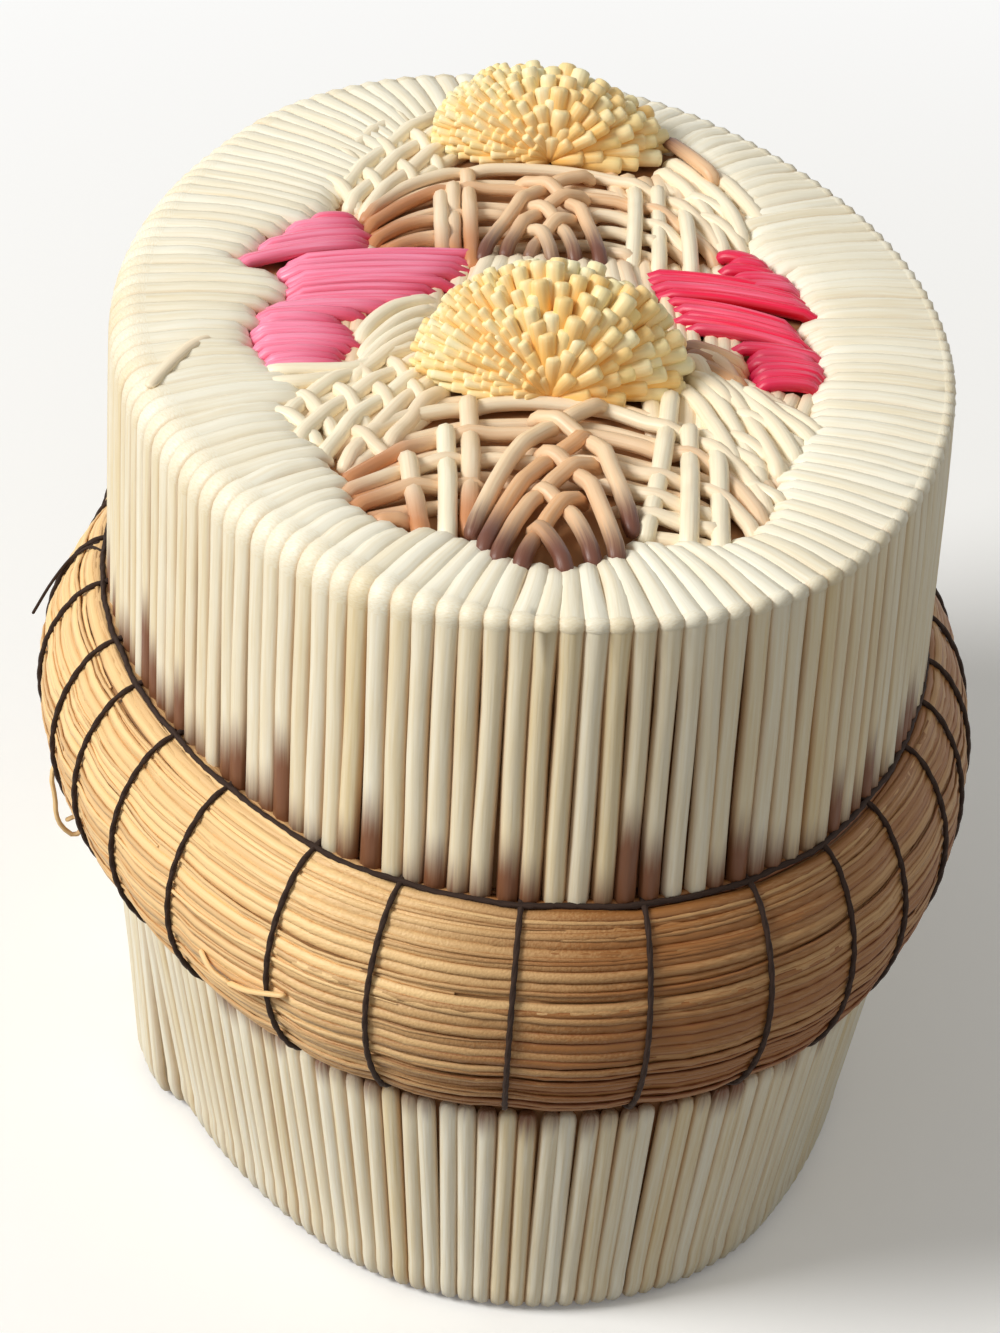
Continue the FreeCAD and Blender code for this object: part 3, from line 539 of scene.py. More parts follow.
@functools.cache
def straw_skin():
    """Colour, roughness and height of a quill or a grass blade, streaked along its length and with painted
    shade along its sides.
    """
    group = bpy.data.node_groups.new("straw_skin", "ShaderNodeTree")
    entry, out = group_sockets(
        group,
        [("Pale", "Color", WHITE), ("Warm", "Color", WHITE), ("Root", "Color", WHITE),
         ("Streaks", "Float", 0.3), ("Streak width", "Float", 2.0), ("Root softness", "Float", 2.0),
         ("Gloss", "Float", 0.4), ("Edge shade", "Color", WHITE), ("Edges", "Float", 0.0)],
        [("Colour", "Color"), ("Roughness", "Float"), ("Height", "Float")])
    skin = add_node(group, "ShaderNodeAttribute", attribute_name="skin").outputs["Vector"]
    tone = add_node(group, "ShaderNodeAttribute", attribute_name="tone").outputs["Fac"]
    root = add_node(group, "ShaderNodeAttribute", attribute_name="root").outputs["Fac"]
    apart = add_node(group, "ShaderNodeSeparateXYZ", {0: skin}).outputs
    run = apart[2]
    widths = add_node(group, "ShaderNodeCombineXYZ", {
        0: entry.outputs["Streak width"], 1: entry.outputs["Streak width"], 2: 0.09})
    stretched = add_node(group, "ShaderNodeVectorMath", {0: skin, 1: widths.outputs[0]},
                         operation="MULTIPLY").outputs[0]
    shift = add_node(group, "ShaderNodeCombineXYZ", {0: calculate(group, "MULTIPLY", tone, 37.0),
                                                     1: 0.0, 2: calculate(group, "MULTIPLY", tone, 91.0)})
    place = add_node(group, "ShaderNodeVectorMath", {0: stretched, 1: shift.outputs[0]},
                     operation="ADD").outputs[0]
    streak = add_node(group, "ShaderNodeTexNoise", {"Vector": place, "Scale": 1.6, "Detail": 3.0}).outputs[0]
    streak = calculate(group, "SUBTRACT", streak, 0.5)
    strength = calculate(group, "MULTIPLY", streak, entry.outputs["Streaks"])
    share = calculate(group, "MULTIPLY_ADD", strength, 4.0, tone)
    share = add_node(group, "ShaderNodeClamp", {0: share}).outputs[0]
    body = mix_colour(group, share, entry.outputs["Pale"], entry.outputs["Warm"])
    # Painted shade: the straw's sides are darkened towards the shade colour, more on darker straws.
    rim = ease(group, calculate(group, "ABSOLUTE", apart[0]), 0.55, 1.0)
    rim = calculate(group, "MULTIPLY", rim, calculate(group, "ADD", tone, 0.25))
    rim = calculate(group, "MULTIPLY", rim, entry.outputs["Edges"])
    body = mix_colour(group, rim, body, entry.outputs["Edge shade"], "MULTIPLY")
    uneven = calculate(group, "MULTIPLY_ADD", streak, 3.0, run)
    depth = calculate(group, "SUBTRACT", root, uneven)
    softness = entry.outputs["Root softness"]
    reach = calculate(group, "DIVIDE", depth, softness)
    mask = ease(group, reach, -1.0, 1.0)
    colour = mix_colour(group, mask, body, entry.outputs["Root"])
    group.links.new(colour, out.inputs["Colour"])
    rough = calculate(group, "MULTIPLY_ADD", streak, 0.3, entry.outputs["Gloss"])
    group.links.new(rough, out.inputs["Roughness"])
    group.links.new(streak, out.inputs["Height"])
    return group


@functools.cache
def bark_grain():
    """Colour and height of birch bark, with its short lenticels lying across the tree's length."""
    group = bpy.data.node_groups.new("bark_grain", "ShaderNodeTree")
    entry, out = group_sockets(
        group,
        [("Place", "Vector", None), ("Bark", "Color", WHITE), ("Stain", "Color", WHITE),
         ("Lenticel", "Color", WHITE)],
        [("Colour", "Color"), ("Height", "Float")])
    cloud = add_node(group, "ShaderNodeTexNoise", {"Vector": entry.outputs["Place"], "Scale": 55.0,
                                                   "Detail": 5.0}).outputs[0]
    long_way = add_node(group, "ShaderNodeVectorMath", {0: entry.outputs["Place"], 1: (1.0, 0.22, 0.3)},
                        operation="MULTIPLY").outputs[0]
    fibre = add_node(group, "ShaderNodeTexNoise", {"Vector": long_way, "Scale": 900.0,
                                                   "Detail": 4.0}).outputs[0]
    cells = add_node(group, "ShaderNodeTexVoronoi", {"Vector": long_way, "Scale": 330.0}).outputs[0]
    lenticel = ease(group, cells, 0.20, 0.08)
    body = mix_colour(group, ease(group, cloud, 0.35, 0.7), entry.outputs["Bark"], entry.outputs["Stain"])
    body = mix_colour(group, calculate(group, "MULTIPLY", fibre, 0.35), body, entry.outputs["Stain"])
    marked = mix_colour(group, calculate(group, "MULTIPLY", lenticel, 0.7), body,
                        entry.outputs["Lenticel"])
    group.links.new(marked, out.inputs["Colour"])
    group.links.new(calculate(group, "MULTIPLY_ADD", lenticel, 0.8, fibre), out.inputs["Height"])
    return group


def new_finish(name):
    """A material with only its output and a Principled shader."""
    finish = bpy.data.materials.new(name)
    finish.use_nodes = True
    shader = finish.node_tree.nodes["Principled BSDF"]
    return finish, finish.node_tree, shader


def straw_finish(name, pale, warm, root, streaks=0.25, streak_width=2.0, root_softness=2.0,
                 gloss=0.42, bump=0.06 * MM, edge=WHITE, edges=0.0):
    """Finish of quills or grass from its pale, warm and root colours; edge and edges are the colour and
    strength of the painted shade along the sides.
    """
    finish, tree, shader = new_finish(name)
    skin = add_node(tree, "ShaderNodeGroup", node_tree=straw_skin())
    for key, value in (("Pale", pale), ("Warm", warm), ("Root", root), ("Streaks", streaks),
                       ("Streak width", streak_width), ("Root softness", root_softness),
                       ("Gloss", gloss), ("Edge shade", edge), ("Edges", edges)):
        skin.inputs[key].default_value = value
    relief = add_node(tree, "ShaderNodeBump", {"Height": skin.outputs["Height"], "Distance": bump,
                                               "Strength": 0.7})
    tree.links.new(skin.outputs["Colour"], shader.inputs["Base Color"])
    tree.links.new(skin.outputs["Roughness"], shader.inputs["Roughness"])
    tree.links.new(relief.outputs[0], shader.inputs["Normal"])
    shader.inputs["Specular IOR Level"].default_value = 0.4
    return finish


def bark_finish(name, bark, stain, lenticel, roughness):
    finish, tree, shader = new_finish(name)
    place = add_node(tree, "ShaderNodeTexCoord").outputs["Object"]
    grain = add_node(tree, "ShaderNodeGroup", node_tree=bark_grain())
    tree.links.new(place, grain.inputs["Place"])
    for key, value in (("Bark", bark), ("Stain", stain), ("Lenticel", lenticel)):
        grain.inputs[key].default_value = value
    relief = add_node(tree, "ShaderNodeBump", {"Height": grain.outputs["Height"], "Distance": 0.15 * MM,
                                               "Strength": 0.6})
    tree.links.new(grain.outputs["Colour"], shader.inputs["Base Color"])
    tree.links.new(relief.outputs[0], shader.inputs["Normal"])
    shader.inputs["Roughness"].default_value = roughness
    return finish


@functools.cache
def finish_of(kind):
    """The box's finishes by name, each made once."""
    paint = colours()
    undyed = {"pale": paint.cream, "warm": paint.straw, "root": paint.root}
    # The edge colours below paint shade along the sides of quills and blades.
    straws = {
        "lid_quill": dict(undyed, streaks=0.22, root_softness=2.7, edge=from_srgb(196, 150, 108),
                          edges=0.75),
        "base_quill": dict(undyed, streaks=0.3, edge=from_srgb(204, 162, 122), edges=0.8),
        "lattice_quill": dict(pale=from_srgb(255, 245, 218), warm=paint.tan, root=from_srgb(200, 136, 90),
                              streaks=0.14, root_softness=4.0),
        "chevron_quill": dict(pale=from_srgb(254, 236, 202), warm=from_srgb(224, 158, 100),
                              root=from_srgb(112, 68, 52), streaks=0.14, root_softness=3.0),
        "pink_quill": dict(pale=paint.pink, warm=paint.deep_pink, root=from_srgb(214, 22, 78), streaks=0.35,
                           root_softness=3.0, gloss=0.38, edge=from_srgb(198, 44, 88), edges=0.8),
        # A tuft quill's root colour is painted shade along its shaft below the pale tip.
        "tuft_quill": dict(pale=paint.tuft, warm=from_srgb(255, 230, 160), root=paint.amber_shade, streaks=0.16,
                           root_softness=2.5),
        "sweetgrass": dict(pale=paint.grass, warm=paint.brown_grass_and_shade, root=from_srgb(96, 60, 34),
                           streaks=0.14, streak_width=1.7, gloss=0.5, bump=0.08 * MM,
                           edge=from_srgb(184, 130, 82), edges=0.6),
        "bundle_core": dict(pale=from_srgb(208, 158, 102), warm=from_srgb(170, 118, 70),
                            root=from_srgb(80, 52, 32)),
        "thread": dict(pale=paint.thread, warm=from_srgb(26, 17, 12), root=paint.thread, streaks=0.4,
                       gloss=0.85)}
    barks = {
        "hidden_bark": (paint.dark_bark, from_srgb(158, 108, 68), from_srgb(116, 76, 48), 0.8),
        "birch_bark": (paint.bark, from_srgb(172, 116, 72), from_srgb(110, 68, 42), 0.62)}
    return straw_finish(kind, **straws[kind]) if kind in straws else bark_finish(kind, *barks[kind])


# Pieces


def edge_reach(start, direction):
    """Distance from the rim to the inner edge of the border along a straight line."""
    corners = [spot(x, y, 0) for x, y in BORDER_EDGE_SHARES]
    nearest = None
    for first, second in zip(corners, corners[1:] + corners[:1]):
        side = second - first
        cross = direction.x * side.y - direction.y * side.x
        reach = first - start
        distance = (reach.x * side.y - reach.y * side.x) / cross
        along = (reach.x * direction.y - reach.y * direction.x) / cross
        if distance > 0 and 0 <= along <= 1 and (nearest is None or distance < nearest):
            nearest = distance
    return nearest


def border_line(share):
    """Rim point, outward and inward directions and run of one border quill in plan."""
    outline, outward = oval_station(share)
    rim = outline - outward * sizes().quill_depth
    inward = (Vector((0, rim.y / 2, 0)) - rim).normalized()
    return rim, outward, inward, edge_reach(rim, inward)


# Rings of a lid quill: shares of its height up the side, each with its share of the full size, then
# steps round the rim, then shares of its run over the top
SIDE_RING_SHARES = ((0.0, 0.55), (0.012, 0.85), (0.04, 1.0), (0.25, 1.0), (0.5, 1.0), (0.72, 1.0),
                    (0.88, 1.0), (1.0, 1.0))
BEND_STEPS = 6
TOP_SHARES = (0.12, 0.3, 0.5, 0.7, 0.84, 0.92, 0.97, 1.0)

# Widths of a lid quill as shares of half the pitch, and depths as shares of its own
SIDE_WIDTH_SHARE = 0.955
RIM_WIDTH_SHARE = 1.16
BEND_SPREAD_SHARE = 0.10
TOP_WIDTH_SHARE = 1.26
SIDE_DEPTH_SHARE = 0.92
RIM_THINNING_SHARE = 0.16
RIM_DEPTH_SHARE = 0.76
TOP_DEPTH_SHARE = 0.70

# How far a quill swells over the top, dips in at the design, and how narrow its end may be
TOP_SWELL = 0.28 * MM
TOP_DIP = 1.1 * MM
END_WIDTH_SHARE = 0.62
NARROWEST_END = 0.34 * MM

# Lengths of the brown roots that show above the grass, in millimetres
ROOT_LENGTHS = (-0.5, 1.0, 1.7, 2.3, 2.9, 3.5, 4.4, 6.0, 8.2)


def wrapped_quill(pile, line, neighbours, luck):
    """One quill that climbs the lid's side, folds over the rim and dips in at the design."""
    rim, outward, inward, reach = line
    depth = sizes().quill_depth
    half_pitch = oval_length() / sizes().border_count / 2
    tangent = Vector((-outward.y, outward.x, 0))
    sideways = Vector((-inward.y, inward.x, 0))
    softness = smooth((-outward.x - 0.05) / 0.9)
    bend = (0.30 + 2.3 * softness) * MM
    squareness = 5.0 - 2.6 * softness
    low = GRASS_HIGH.z - luck.uniform(0.7, 1.1) * MM
    axis_top = LID_TOP - depth
    bend_start = axis_top - bend
    lean = luck.gauss(0, 0.13) * MM
    wave = luck.uniform(0, TURN)
    run = reach + luck.uniform(0.0, 1.1) * MM
    fullness = (SIDE_WIDTH_SHARE + 0.08 * smooth(-outward.x * 1.3)) * luck.uniform(0.95, 1.03)
    points, widths, depths = [], [], []
    for share, size in SIDE_RING_SHARES:
        height = low + (bend_start - low) * share
        shift = lean * (1 - share) + 0.10 * MM * math.sin(wave + 4 * share) * math.sin(math.pi * share)
        points.append(Vector((rim.x, rim.y, height)) + tangent * shift)
        closing = smooth((share - 0.80) / 0.20)
        widths.append(half_pitch * (fullness + (RIM_WIDTH_SHARE - fullness) * closing) * size)
        thinning = SIDE_DEPTH_SHARE - RIM_THINNING_SHARE * closing - 0.12 * softness * (1 - closing)
        depths.append(depth * thinning * size)
    for i in range(1, BEND_STEPS + 1):
        angle = math.pi / 2 * i / BEND_STEPS
        corner = (math.cos(angle) ** squareness + math.sin(angle) ** squareness) ** (-1 / squareness)
        reach_out = (bend + RIM_DEPTH_SHARE * depth) * corner - RIM_DEPTH_SHARE * depth
        points.append(Vector((rim.x, rim.y, bend_start + reach_out * math.sin(angle)))
                      + inward * (bend - reach_out * math.cos(angle)))
        widths.append(half_pitch * (RIM_WIDTH_SHARE + BEND_SPREAD_SHARE * i / BEND_STEPS))
        depths.append(depth * RIM_DEPTH_SHARE)
    inner_end = rim + inward * run
    spacing = min(abs((inner_end - other[0]).cross(other[2]).z) for other in neighbours)
    end_width = min(half_pitch, max(spacing * END_WIDTH_SHARE, NARROWEST_END))
    top_run = run - bend
    bow = luck.gauss(0, 0.16) * MM
    for share in TOP_SHARES:
        swell = TOP_SWELL * math.sin(math.pi * min(1.0, share * 1.05))
        dip = TOP_DIP * smooth((share - 0.84) / 0.16) ** 1.5
        place = Vector((rim.x, rim.y, axis_top + swell - dip)) + inward * (bend + top_run * share)
        points.append(place + sideways * bow * math.sin(math.pi * share))
        width = half_pitch * (1 - share) + end_width * share
        end = 1 - 0.5 * smooth((share - 0.93) / 0.07)
        widths.append(width * TOP_WIDTH_SHARE * end)
        depths.append(depth * (TOP_DEPTH_SHARE + 0.15 * math.sin(math.pi * share)) * end)
    root = luck.choice(ROOT_LENGTHS) + luck.uniform(-0.3, 0.4)
    side_rings, top_rings = len(SIDE_RING_SHARES), len(TOP_SHARES)
    across = np.array([tangent] * side_rings + [sideways * -1] * (BEND_STEPS + top_rings))
    tone = luck.betavariate(1.6, 3.2)
    # Painted light and shade: besides its own random tone, each quill is paler over the lit top and warmer
    # and darker down its shaded side, with the bend between.
    shaded_side_tone, lit_top_tone = 0.24 + 0.70 * tone, 0.45 * tone
    shaded_to_lit_bend_tones = [shaded_side_tone + (lit_top_tone - shaded_side_tone) * i / BEND_STEPS for i in range(1, BEND_STEPS + 1)]
    tones = np.array([shaded_side_tone] * side_rings + shaded_to_lit_bend_tones + [lit_top_tone] * top_rings)
    pile.lay(points, across, widths, depths, tone=tones, root=root)


class QUILLBOX_OT_lid_quills(bpy.types.Operator):
    """Lay the quills that climb the lid's side and frame the design on its top"""
    bl_idname = "quill_box.lid_quills"
    bl_label = "Lid quills"

    def execute(self, context):
        luck = random.Random(11)
        count = sizes().border_count
        lines = [border_line((i + luck.uniform(-0.06, 0.06)) / count) for i in range(count)]
        pile = StrawPile()
        for i, line in enumerate(lines):
            wrapped_quill(pile, line, [lines[i - 1], lines[(i + 1) % count]], luck)
        pile.piece("wrapped_lid_quills", "lid", "white_quill", finish_of("lid_quill"),
                   ["lid_border_quills"])
        return {"FINISHED"}


# Rings of a base quill: shares of its height from the top down, each with its share of the full size,
# then steps round its foot
BASE_RING_SHARES = ((0.0, 0.5), (0.012, 0.85), (0.04, 1.0), (0.25, 1.0), (0.5, 1.0), (0.75, 1.0), (0.9, 1.0))
FOOT_STEPS = 4
FOOT_TURN_IN = 1.3 * MM

# Where the base's foot has sprung outward, and how far
SPRUNG_SHARE = 0.544
SPRUNG_BREADTH_SHARE = 0.026
SPRUNG_OUTWARD = 2.1 * MM


class QUILLBOX_OT_base_quills(bpy.types.Operator):
    """Lay the upright quills round the base, their lower ends turned in under its edge"""
    bl_idname = "quill_box.base_quills"
    bl_label = "Base quills"

    def execute(self, context):
        luck = random.Random(12)
        count = sizes().base_count
        depth = sizes().base_quill_depth
        half_pitch = oval_length() / count / 2
        foot = BASE_LOW.z + depth * 0.6
        straight = BASE_HIGH.z - foot - FOOT_TURN_IN
        mean_radius = (oval_arcs()[0][1] + oval_arcs()[1][1]) / 2
        pile = StrawPile()
        for i in range(count):
            outline, outward = oval_station((i + luck.uniform(-0.07, 0.07)) / count)
            tangent = Vector((-outward.y, outward.x, 0))
            lean = luck.gauss(0, 0.12) * MM
            thick = luck.uniform(0.84, 1.0)
            sprung = smooth((SPRUNG_BREADTH_SHARE - abs(i / count - SPRUNG_SHARE)) / 0.018)
            points, widths, depths = [], [], []
            for share, size in BASE_RING_SHARES:
                height = BASE_HIGH.z - straight * share
                offset = (SPRUNG_OUTWARD * sprung - sizes().base_inset) * (1 - height / BASE_HIGH.z) - depth
                shrink = 1 + offset / mean_radius
                place = outline + outward * offset + tangent * lean * (1 - share)
                points.append(Vector((place.x, place.y, height)))
                widths.append(half_pitch * (0.96 + 0.07 * thick) * shrink * size)
                depths.append(depth * size)
            corner = points[-1]
            for step in range(1, FOOT_STEPS + 1):
                angle = math.pi / 2 * step / FOOT_STEPS
                points.append(corner - outward * FOOT_TURN_IN * (1 - math.cos(angle)) * 0.8
                              - Vector((0, 0, 1)) * (FOOT_TURN_IN + straight * 0.1) * math.sin(angle))
                narrowing, thinning = (0.98, 1.0) if step < FOOT_STEPS else (0.8, 0.7)
                widths.append(widths[-1] * narrowing)
                depths.append(depth * (1 - 0.25 * step / FOOT_STEPS) * thinning)
            pile.lay(points, tangent, widths, depths, tone=0.1 + 0.8 * luck.betavariate(1.6, 3.0),
                     root=luck.uniform(-1.0, 2.2))
        pile.piece("wrapped_base_quills", "base", "white_quill", finish_of("base_quill"),
                   ["base_side_quills"])
        return {"FINISHED"}


@functools.cache
def bulge_arcs():
    """Centre, radius, start angle and span of the arcs of the bundle's section, from its top down.
    A place is the offset from the outline and the height."""
    inner = LID_WALL_OFFSET
    proud = GRASS_PROUD - inner
    edge = sizes().grass_edge
    edge_centre = GRASS_HALF_HEIGHT - edge
    middle_radius = (proud ** 2 + edge_centre ** 2 - edge ** 2) / (2 * (proud - edge))
    turn = math.atan2(edge_centre, middle_radius - proud)
    quarter = math.pi / 2
    return [
        ((inner, GRASS_MIDDLE + edge_centre), edge, quarter, quarter - turn),
        ((inner - middle_radius + proud, GRASS_MIDDLE), middle_radius, turn, 2 * turn),
        ((inner, GRASS_MIDDLE - edge_centre), edge, -turn, quarter - turn)]


@functools.cache
def bulge_length():
    return sum(radius * span for centre, radius, start, span in bulge_arcs())


def bulge_place(share, lift):
    """Offset, height and outward slope of the bundle's surface at a share of the way down."""
    left = min(1.0, max(0.0, share)) * bulge_length()
    for centre, radius, start, span in bulge_arcs():
        if left <= radius * span + 1e-9:
            break
        left -= radius * span
    angle = start - left / radius
    reach = radius + lift
    return centre[0] + reach * math.cos(angle), centre[1] + reach * math.sin(angle), angle


def bundle_swell(share, outward):
    """How much fuller than the frame's the bundle is: on its left it bulges, and at the back left,
    where its two ends meet, it thins."""
    apart = (share - ENDS_MEET_SHARE + 0.5) % 1 - 0.5
    swell = 1 + 0.13 * smooth(-outward.x) - 0.07 * smooth(outward.x)
    return swell - 0.36 * math.exp(-(apart / ENDS_MEET_BREADTH_SHARE) ** 2)


def on_bundle(share, down, lift):
    """A place on the sweetgrass bundle, with the direction down its section."""
    outline, outward = oval_station(share)
    offset, height, angle = bulge_place(down, lift)
    proud = (offset - LID_WALL_OFFSET) * bundle_swell(share, outward)
    place = outline + outward * (LID_WALL_OFFSET + proud)
    place.z = height
    downward = outward * math.sin(angle) - Vector((0, 0, 1)) * math.cos(angle)
    return place, downward


@functools.cache
def stitch_stations():
    """Share round the outline and lean of each stitch."""
    luck = random.Random(21)
    stations = [(share, luck.uniform(-0.0035, 0.0015)) for share in FRONT_STITCH_SHARES]
    first = FRONT_STITCH_SHARES[-1]
    step = (1 + FRONT_STITCH_SHARES[0] - first) / (BACK_STITCH_COUNT + 1)
    for i in range(1, BACK_STITCH_COUNT + 1):
        stations.append(((first + step * (i + luck.uniform(-0.12, 0.12))) % 1, luck.uniform(-0.002, 0.002)))
    return sorted(stations)


# How far and how broadly a stitch draws the blades in, and the spacing of a blade's rings
PINCH_DEPTH = 0.32 * MM
PINCH_BREADTH = 1.6 * MM
BLADE_RING_SPACING = 2.1 * MM


def pinch(share):
    """How far a blade is drawn in at a share of the way round, most under a stitch."""
    nearest = min(abs((share - station + 0.5) % 1 - 0.5) for station, lean in stitch_stations())
    return PINCH_DEPTH * math.exp(-(nearest * oval_length() / PINCH_BREADTH) ** 2)


def blade(pile, luck, start, length, down, drift, lift, half_width, half_depth, tone):
    """One grass blade wound round the box, wandering a little up and down. Painted shade makes it darker on
    the box's right and at the bundle's upper and lower edges."""
    rings = max(6, int(length / BLADE_RING_SPACING))
    seed = luck.uniform(0, 100)
    points, across, widths, depths, tones = [], [], [], [], []
    for i in range(rings):
        along = i / (rings - 1)
        share = start + along * length / oval_length()
        outward = oval_station(share)[1]
        # Painted shade on top of the blade's own tone: darker towards the front and right, a little less at
        # the far right, darker on the lower half under the bulge and along the top edge at the joint with
        # the lid.
        shade = tone * 0.55 + 0.86 * smooth(outward.x + 0.8)
        shade -= 0.12 * smooth((outward.x - 0.1) / 0.6)
        shade += 0.6 * smooth(down * 2 - 0.9)
        shade += 0.7 * smooth((0.10 - down) / 0.06)
        tones.append(shade)
        wander = drift * (along - 0.5) + 0.010 * noise.noise(Vector((seed, share * 9, 0)))
        rise = lift - pinch(share) + 0.03 * MM * noise.noise(Vector((seed, share * 22, 5)))
        place, downward = on_bundle(share, down + wander, rise)
        end = min(1.0, 0.25 + 6 * along, 0.25 + 6 * (1 - along))
        points.append(place)
        across.append(downward)
        widths.append(half_width * end)
        depths.append(half_depth * end)
    pile.lay(points, np.array(across), widths, depths, tone=np.array(tones) - 0.14, sides=6)


# Spacing of the blades laid side by side, as a share of their half width, and counts of the rest
BED_SPACING_SHARE = 1.50
BROAD_BLADES = 38
FINE_BLADES = 36


class QUILLBOX_OT_grass_bundle(bpy.types.Operator):
    """Wind the sweetgrass blades round the lid's lower edge"""
    bl_idname = "quill_box.grass_bundle"
    bl_label = "Sweetgrass bundle"

    def execute(self, context):
        luck = random.Random(13)
        half_width = sizes().blade_width
        pile = StrawPile()
        beds = int(bulge_length() / (BED_SPACING_SHARE * half_width))
        for i in range(beds):
            down = (i + luck.uniform(0.35, 0.65)) / beds
            blade(pile, luck, start=luck.random(), length=oval_length() * 1.03, down=down,
                  drift=luck.uniform(-0.013, 0.013), lift=luck.uniform(-0.11, 0.09) * MM,
                  half_width=half_width * luck.uniform(0.85, 1.1), half_depth=0.25 * MM,
                  tone=luck.betavariate(1.1, 1.3))
        for i in range(BROAD_BLADES):
            down = (i + luck.uniform(0.1, 0.9)) / BROAD_BLADES
            blade(pile, luck, start=luck.random(), length=luck.uniform(50, 150) * MM, down=down,
                  drift=luck.uniform(-0.08, 0.08), lift=0.20 * MM,
                  half_width=half_width * luck.uniform(0.5, 1.0), half_depth=0.16 * MM,
                  tone=luck.betavariate(0.9, 1.1))
        for i in range(FINE_BLADES):
            blade(pile, luck, start=luck.random(), length=luck.uniform(30, 110) * MM,
                  down=luck.uniform(0.03, 0.97), drift=luck.uniform(-0.06, 0.06), lift=0.24 * MM,
                  half_width=0.2 * MM, half_depth=0.12 * MM, tone=luck.betavariate(0.8, 0.8))
        pile.piece("sweetgrass_blades", "lid", "sweetgrass", finish_of("sweetgrass"), ["sweetgrass_bundle"])
        return {"FINISHED"}


CORE_STATIONS = 720
CORE_SHRINK = 0.22 * MM


class QUILLBOX_OT_grass_core(bpy.types.Operator):
    """Fill the bundle behind its outer blades"""
    bl_idname = "quill_box.grass_core"
    bl_label = "Sweetgrass core"

    def execute(self, context):
        form = bmesh.new()
        form.from_mesh(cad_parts["sweetgrass_bundle"].data)
        bmesh.ops.remove_doubles(form, verts=form.verts, dist=0.02 * MM)
        bmesh.ops.dissolve_limit(form, angle_limit=math.radians(4), verts=form.verts, edges=form.edges)
        form.normal_update()
        stations = [oval_station(i / CORE_STATIONS) for i in range(CORE_STATIONS)]
        places = np.array([place.xy for place, outward in stations])
        for vert in form.verts:
            nearest = int(np.argmin(np.sum((places - np.array(vert.co.xy)) ** 2, axis=1)))
            place, outward = stations[nearest]
            proud = (vert.co - place).dot(outward) - LID_WALL_OFFSET
            swell = bundle_swell(nearest / CORE_STATIONS, outward) - 1
            vert.co += outward * max(0.0, proud) * swell - vert.normal * CORE_SHRINK
        bmesh.ops.triangulate(form, faces=form.faces)
        mesh = bpy.data.meshes.new("sweetgrass_core")
        form.to_mesh(mesh)
        form.free()
        mesh.shade_smooth()
        settle("sweetgrass_core", mesh, "lid", finish_of("bundle_core"))
        return {"FINISHED"}


# Radius of a strand, and how far it lies off the thread's middle, as shares of the thread's radius
STRAND_RADIUS_SHARE = 0.80
STRAND_SHIFT_SHARE = 0.24
STITCH_RINGS = 64
STITCH_PITCH = 3.6 * MM
JUNCTION_RINGS = 260
JUNCTION_PITCH = 3.4 * MM


def twisted(pile, points, across, radius, pitch):
    """Two strands twisted into a thread along the points."""
    points = np.array([tuple(point) for point in points])
    across = np.array([tuple(side) for side in across])
    upward = np.cross(directions(points), across)
    strand = radius * STRAND_RADIUS_SHARE
    for phase in (0, math.pi):
        angle = distances(points) / pitch * TURN + phase
        outward = across * np.cos(angle)[:, None] + upward * np.sin(angle)[:, None]
        pile.lay(points + outward * radius * STRAND_SHIFT_SHARE, across, strand, strand, tone=0.3, sides=5)


class QUILLBOX_OT_stitching(bpy.types.Operator):
    """Sew the bundle to the lid with dark thread"""
    bl_idname = "quill_box.stitching"
    bl_label = "Stitching"

    def execute(self, context):
        luck = random.Random(14)
        radius = sizes().thread_radius
        pile = StrawPile()
        for station, lean in stitch_stations():
            sway = luck.uniform(-0.0012, 0.0012)
            points, across = [], []
            for i in range(STITCH_RINGS):
                down = i / (STITCH_RINGS - 1)
                bowed = station + lean * down + sway * math.sin(math.pi * down)
                place, downward = on_bundle(bowed, down, radius * 0.7 + 0.05 * MM)
                points.append(place)
                across.append(Vector((0, 0, 1)).cross(oval_station(bowed)[1]))
            twisted(pile, points, across, radius, STITCH_PITCH)
        pile.piece("bundle_stitches", "lid", "dark_thread", finish_of("thread"), ["sweetgrass_stitches"])
        pile = StrawPile()
        points, across = [], []
        for i in range(JUNCTION_RINGS + 1):
            share = i / JUNCTION_RINGS
            down = JUNCTION_DOWN_SHARE + 0.008 * noise.noise(Vector((share * 60, 2, 0)))
            place, downward = on_bundle(share, down, radius * 0.5 + 0.14 * MM)
            points.append(place)
            across.append(downward)
        # Partly real thread and partly shade: laid a little thicker than the stitches to fill the dark
        # joint.
        twisted(pile, points, across, radius * 1.08, JUNCTION_PITCH)
        pile.piece("junction_thread_and_shade", "lid", "dark_thread", finish_of("thread"))
        return {"FINISHED"}


# How deep a quill of the top is tucked in, and the tuck, depth and width of a patch's quills
TUCK_DEPTH = 0.9 * MM
PATCH_TUCK = 1.3 * MM
PATCH_DEPTH = 0.62 * MM
PATCH_FULLNESS_SHARE = 0.54


def quill_line(pile, start, end, half_width, half_depth, height, crown, tuck, luck, tone, root):
    """Lay one quill between two places of the top, raised in its middle and tucked in at its ends."""
    length = (end - start).length
    ahead = (end - start).normalized()
    sideways = Vector((-ahead.y, ahead.x, 0))
    bow = luck.gauss(0, 0.012) * length
    edge = tuck / length

    def place(share):
        flat = start.lerp(end, share) + sideways * bow * math.sin(math.pi * share)
        rise = crown * math.sin(math.pi * share)
        sink = TUCK_DEPTH * (1 - smooth(share / edge)) + TUCK_DEPTH * (1 - smooth((1 - share) / edge))
        flat.z = height + rise - sink
        return flat

    lay_curve(pile, place, length, sideways, half_width, half_depth, middle=11, tone=tone, root=root)


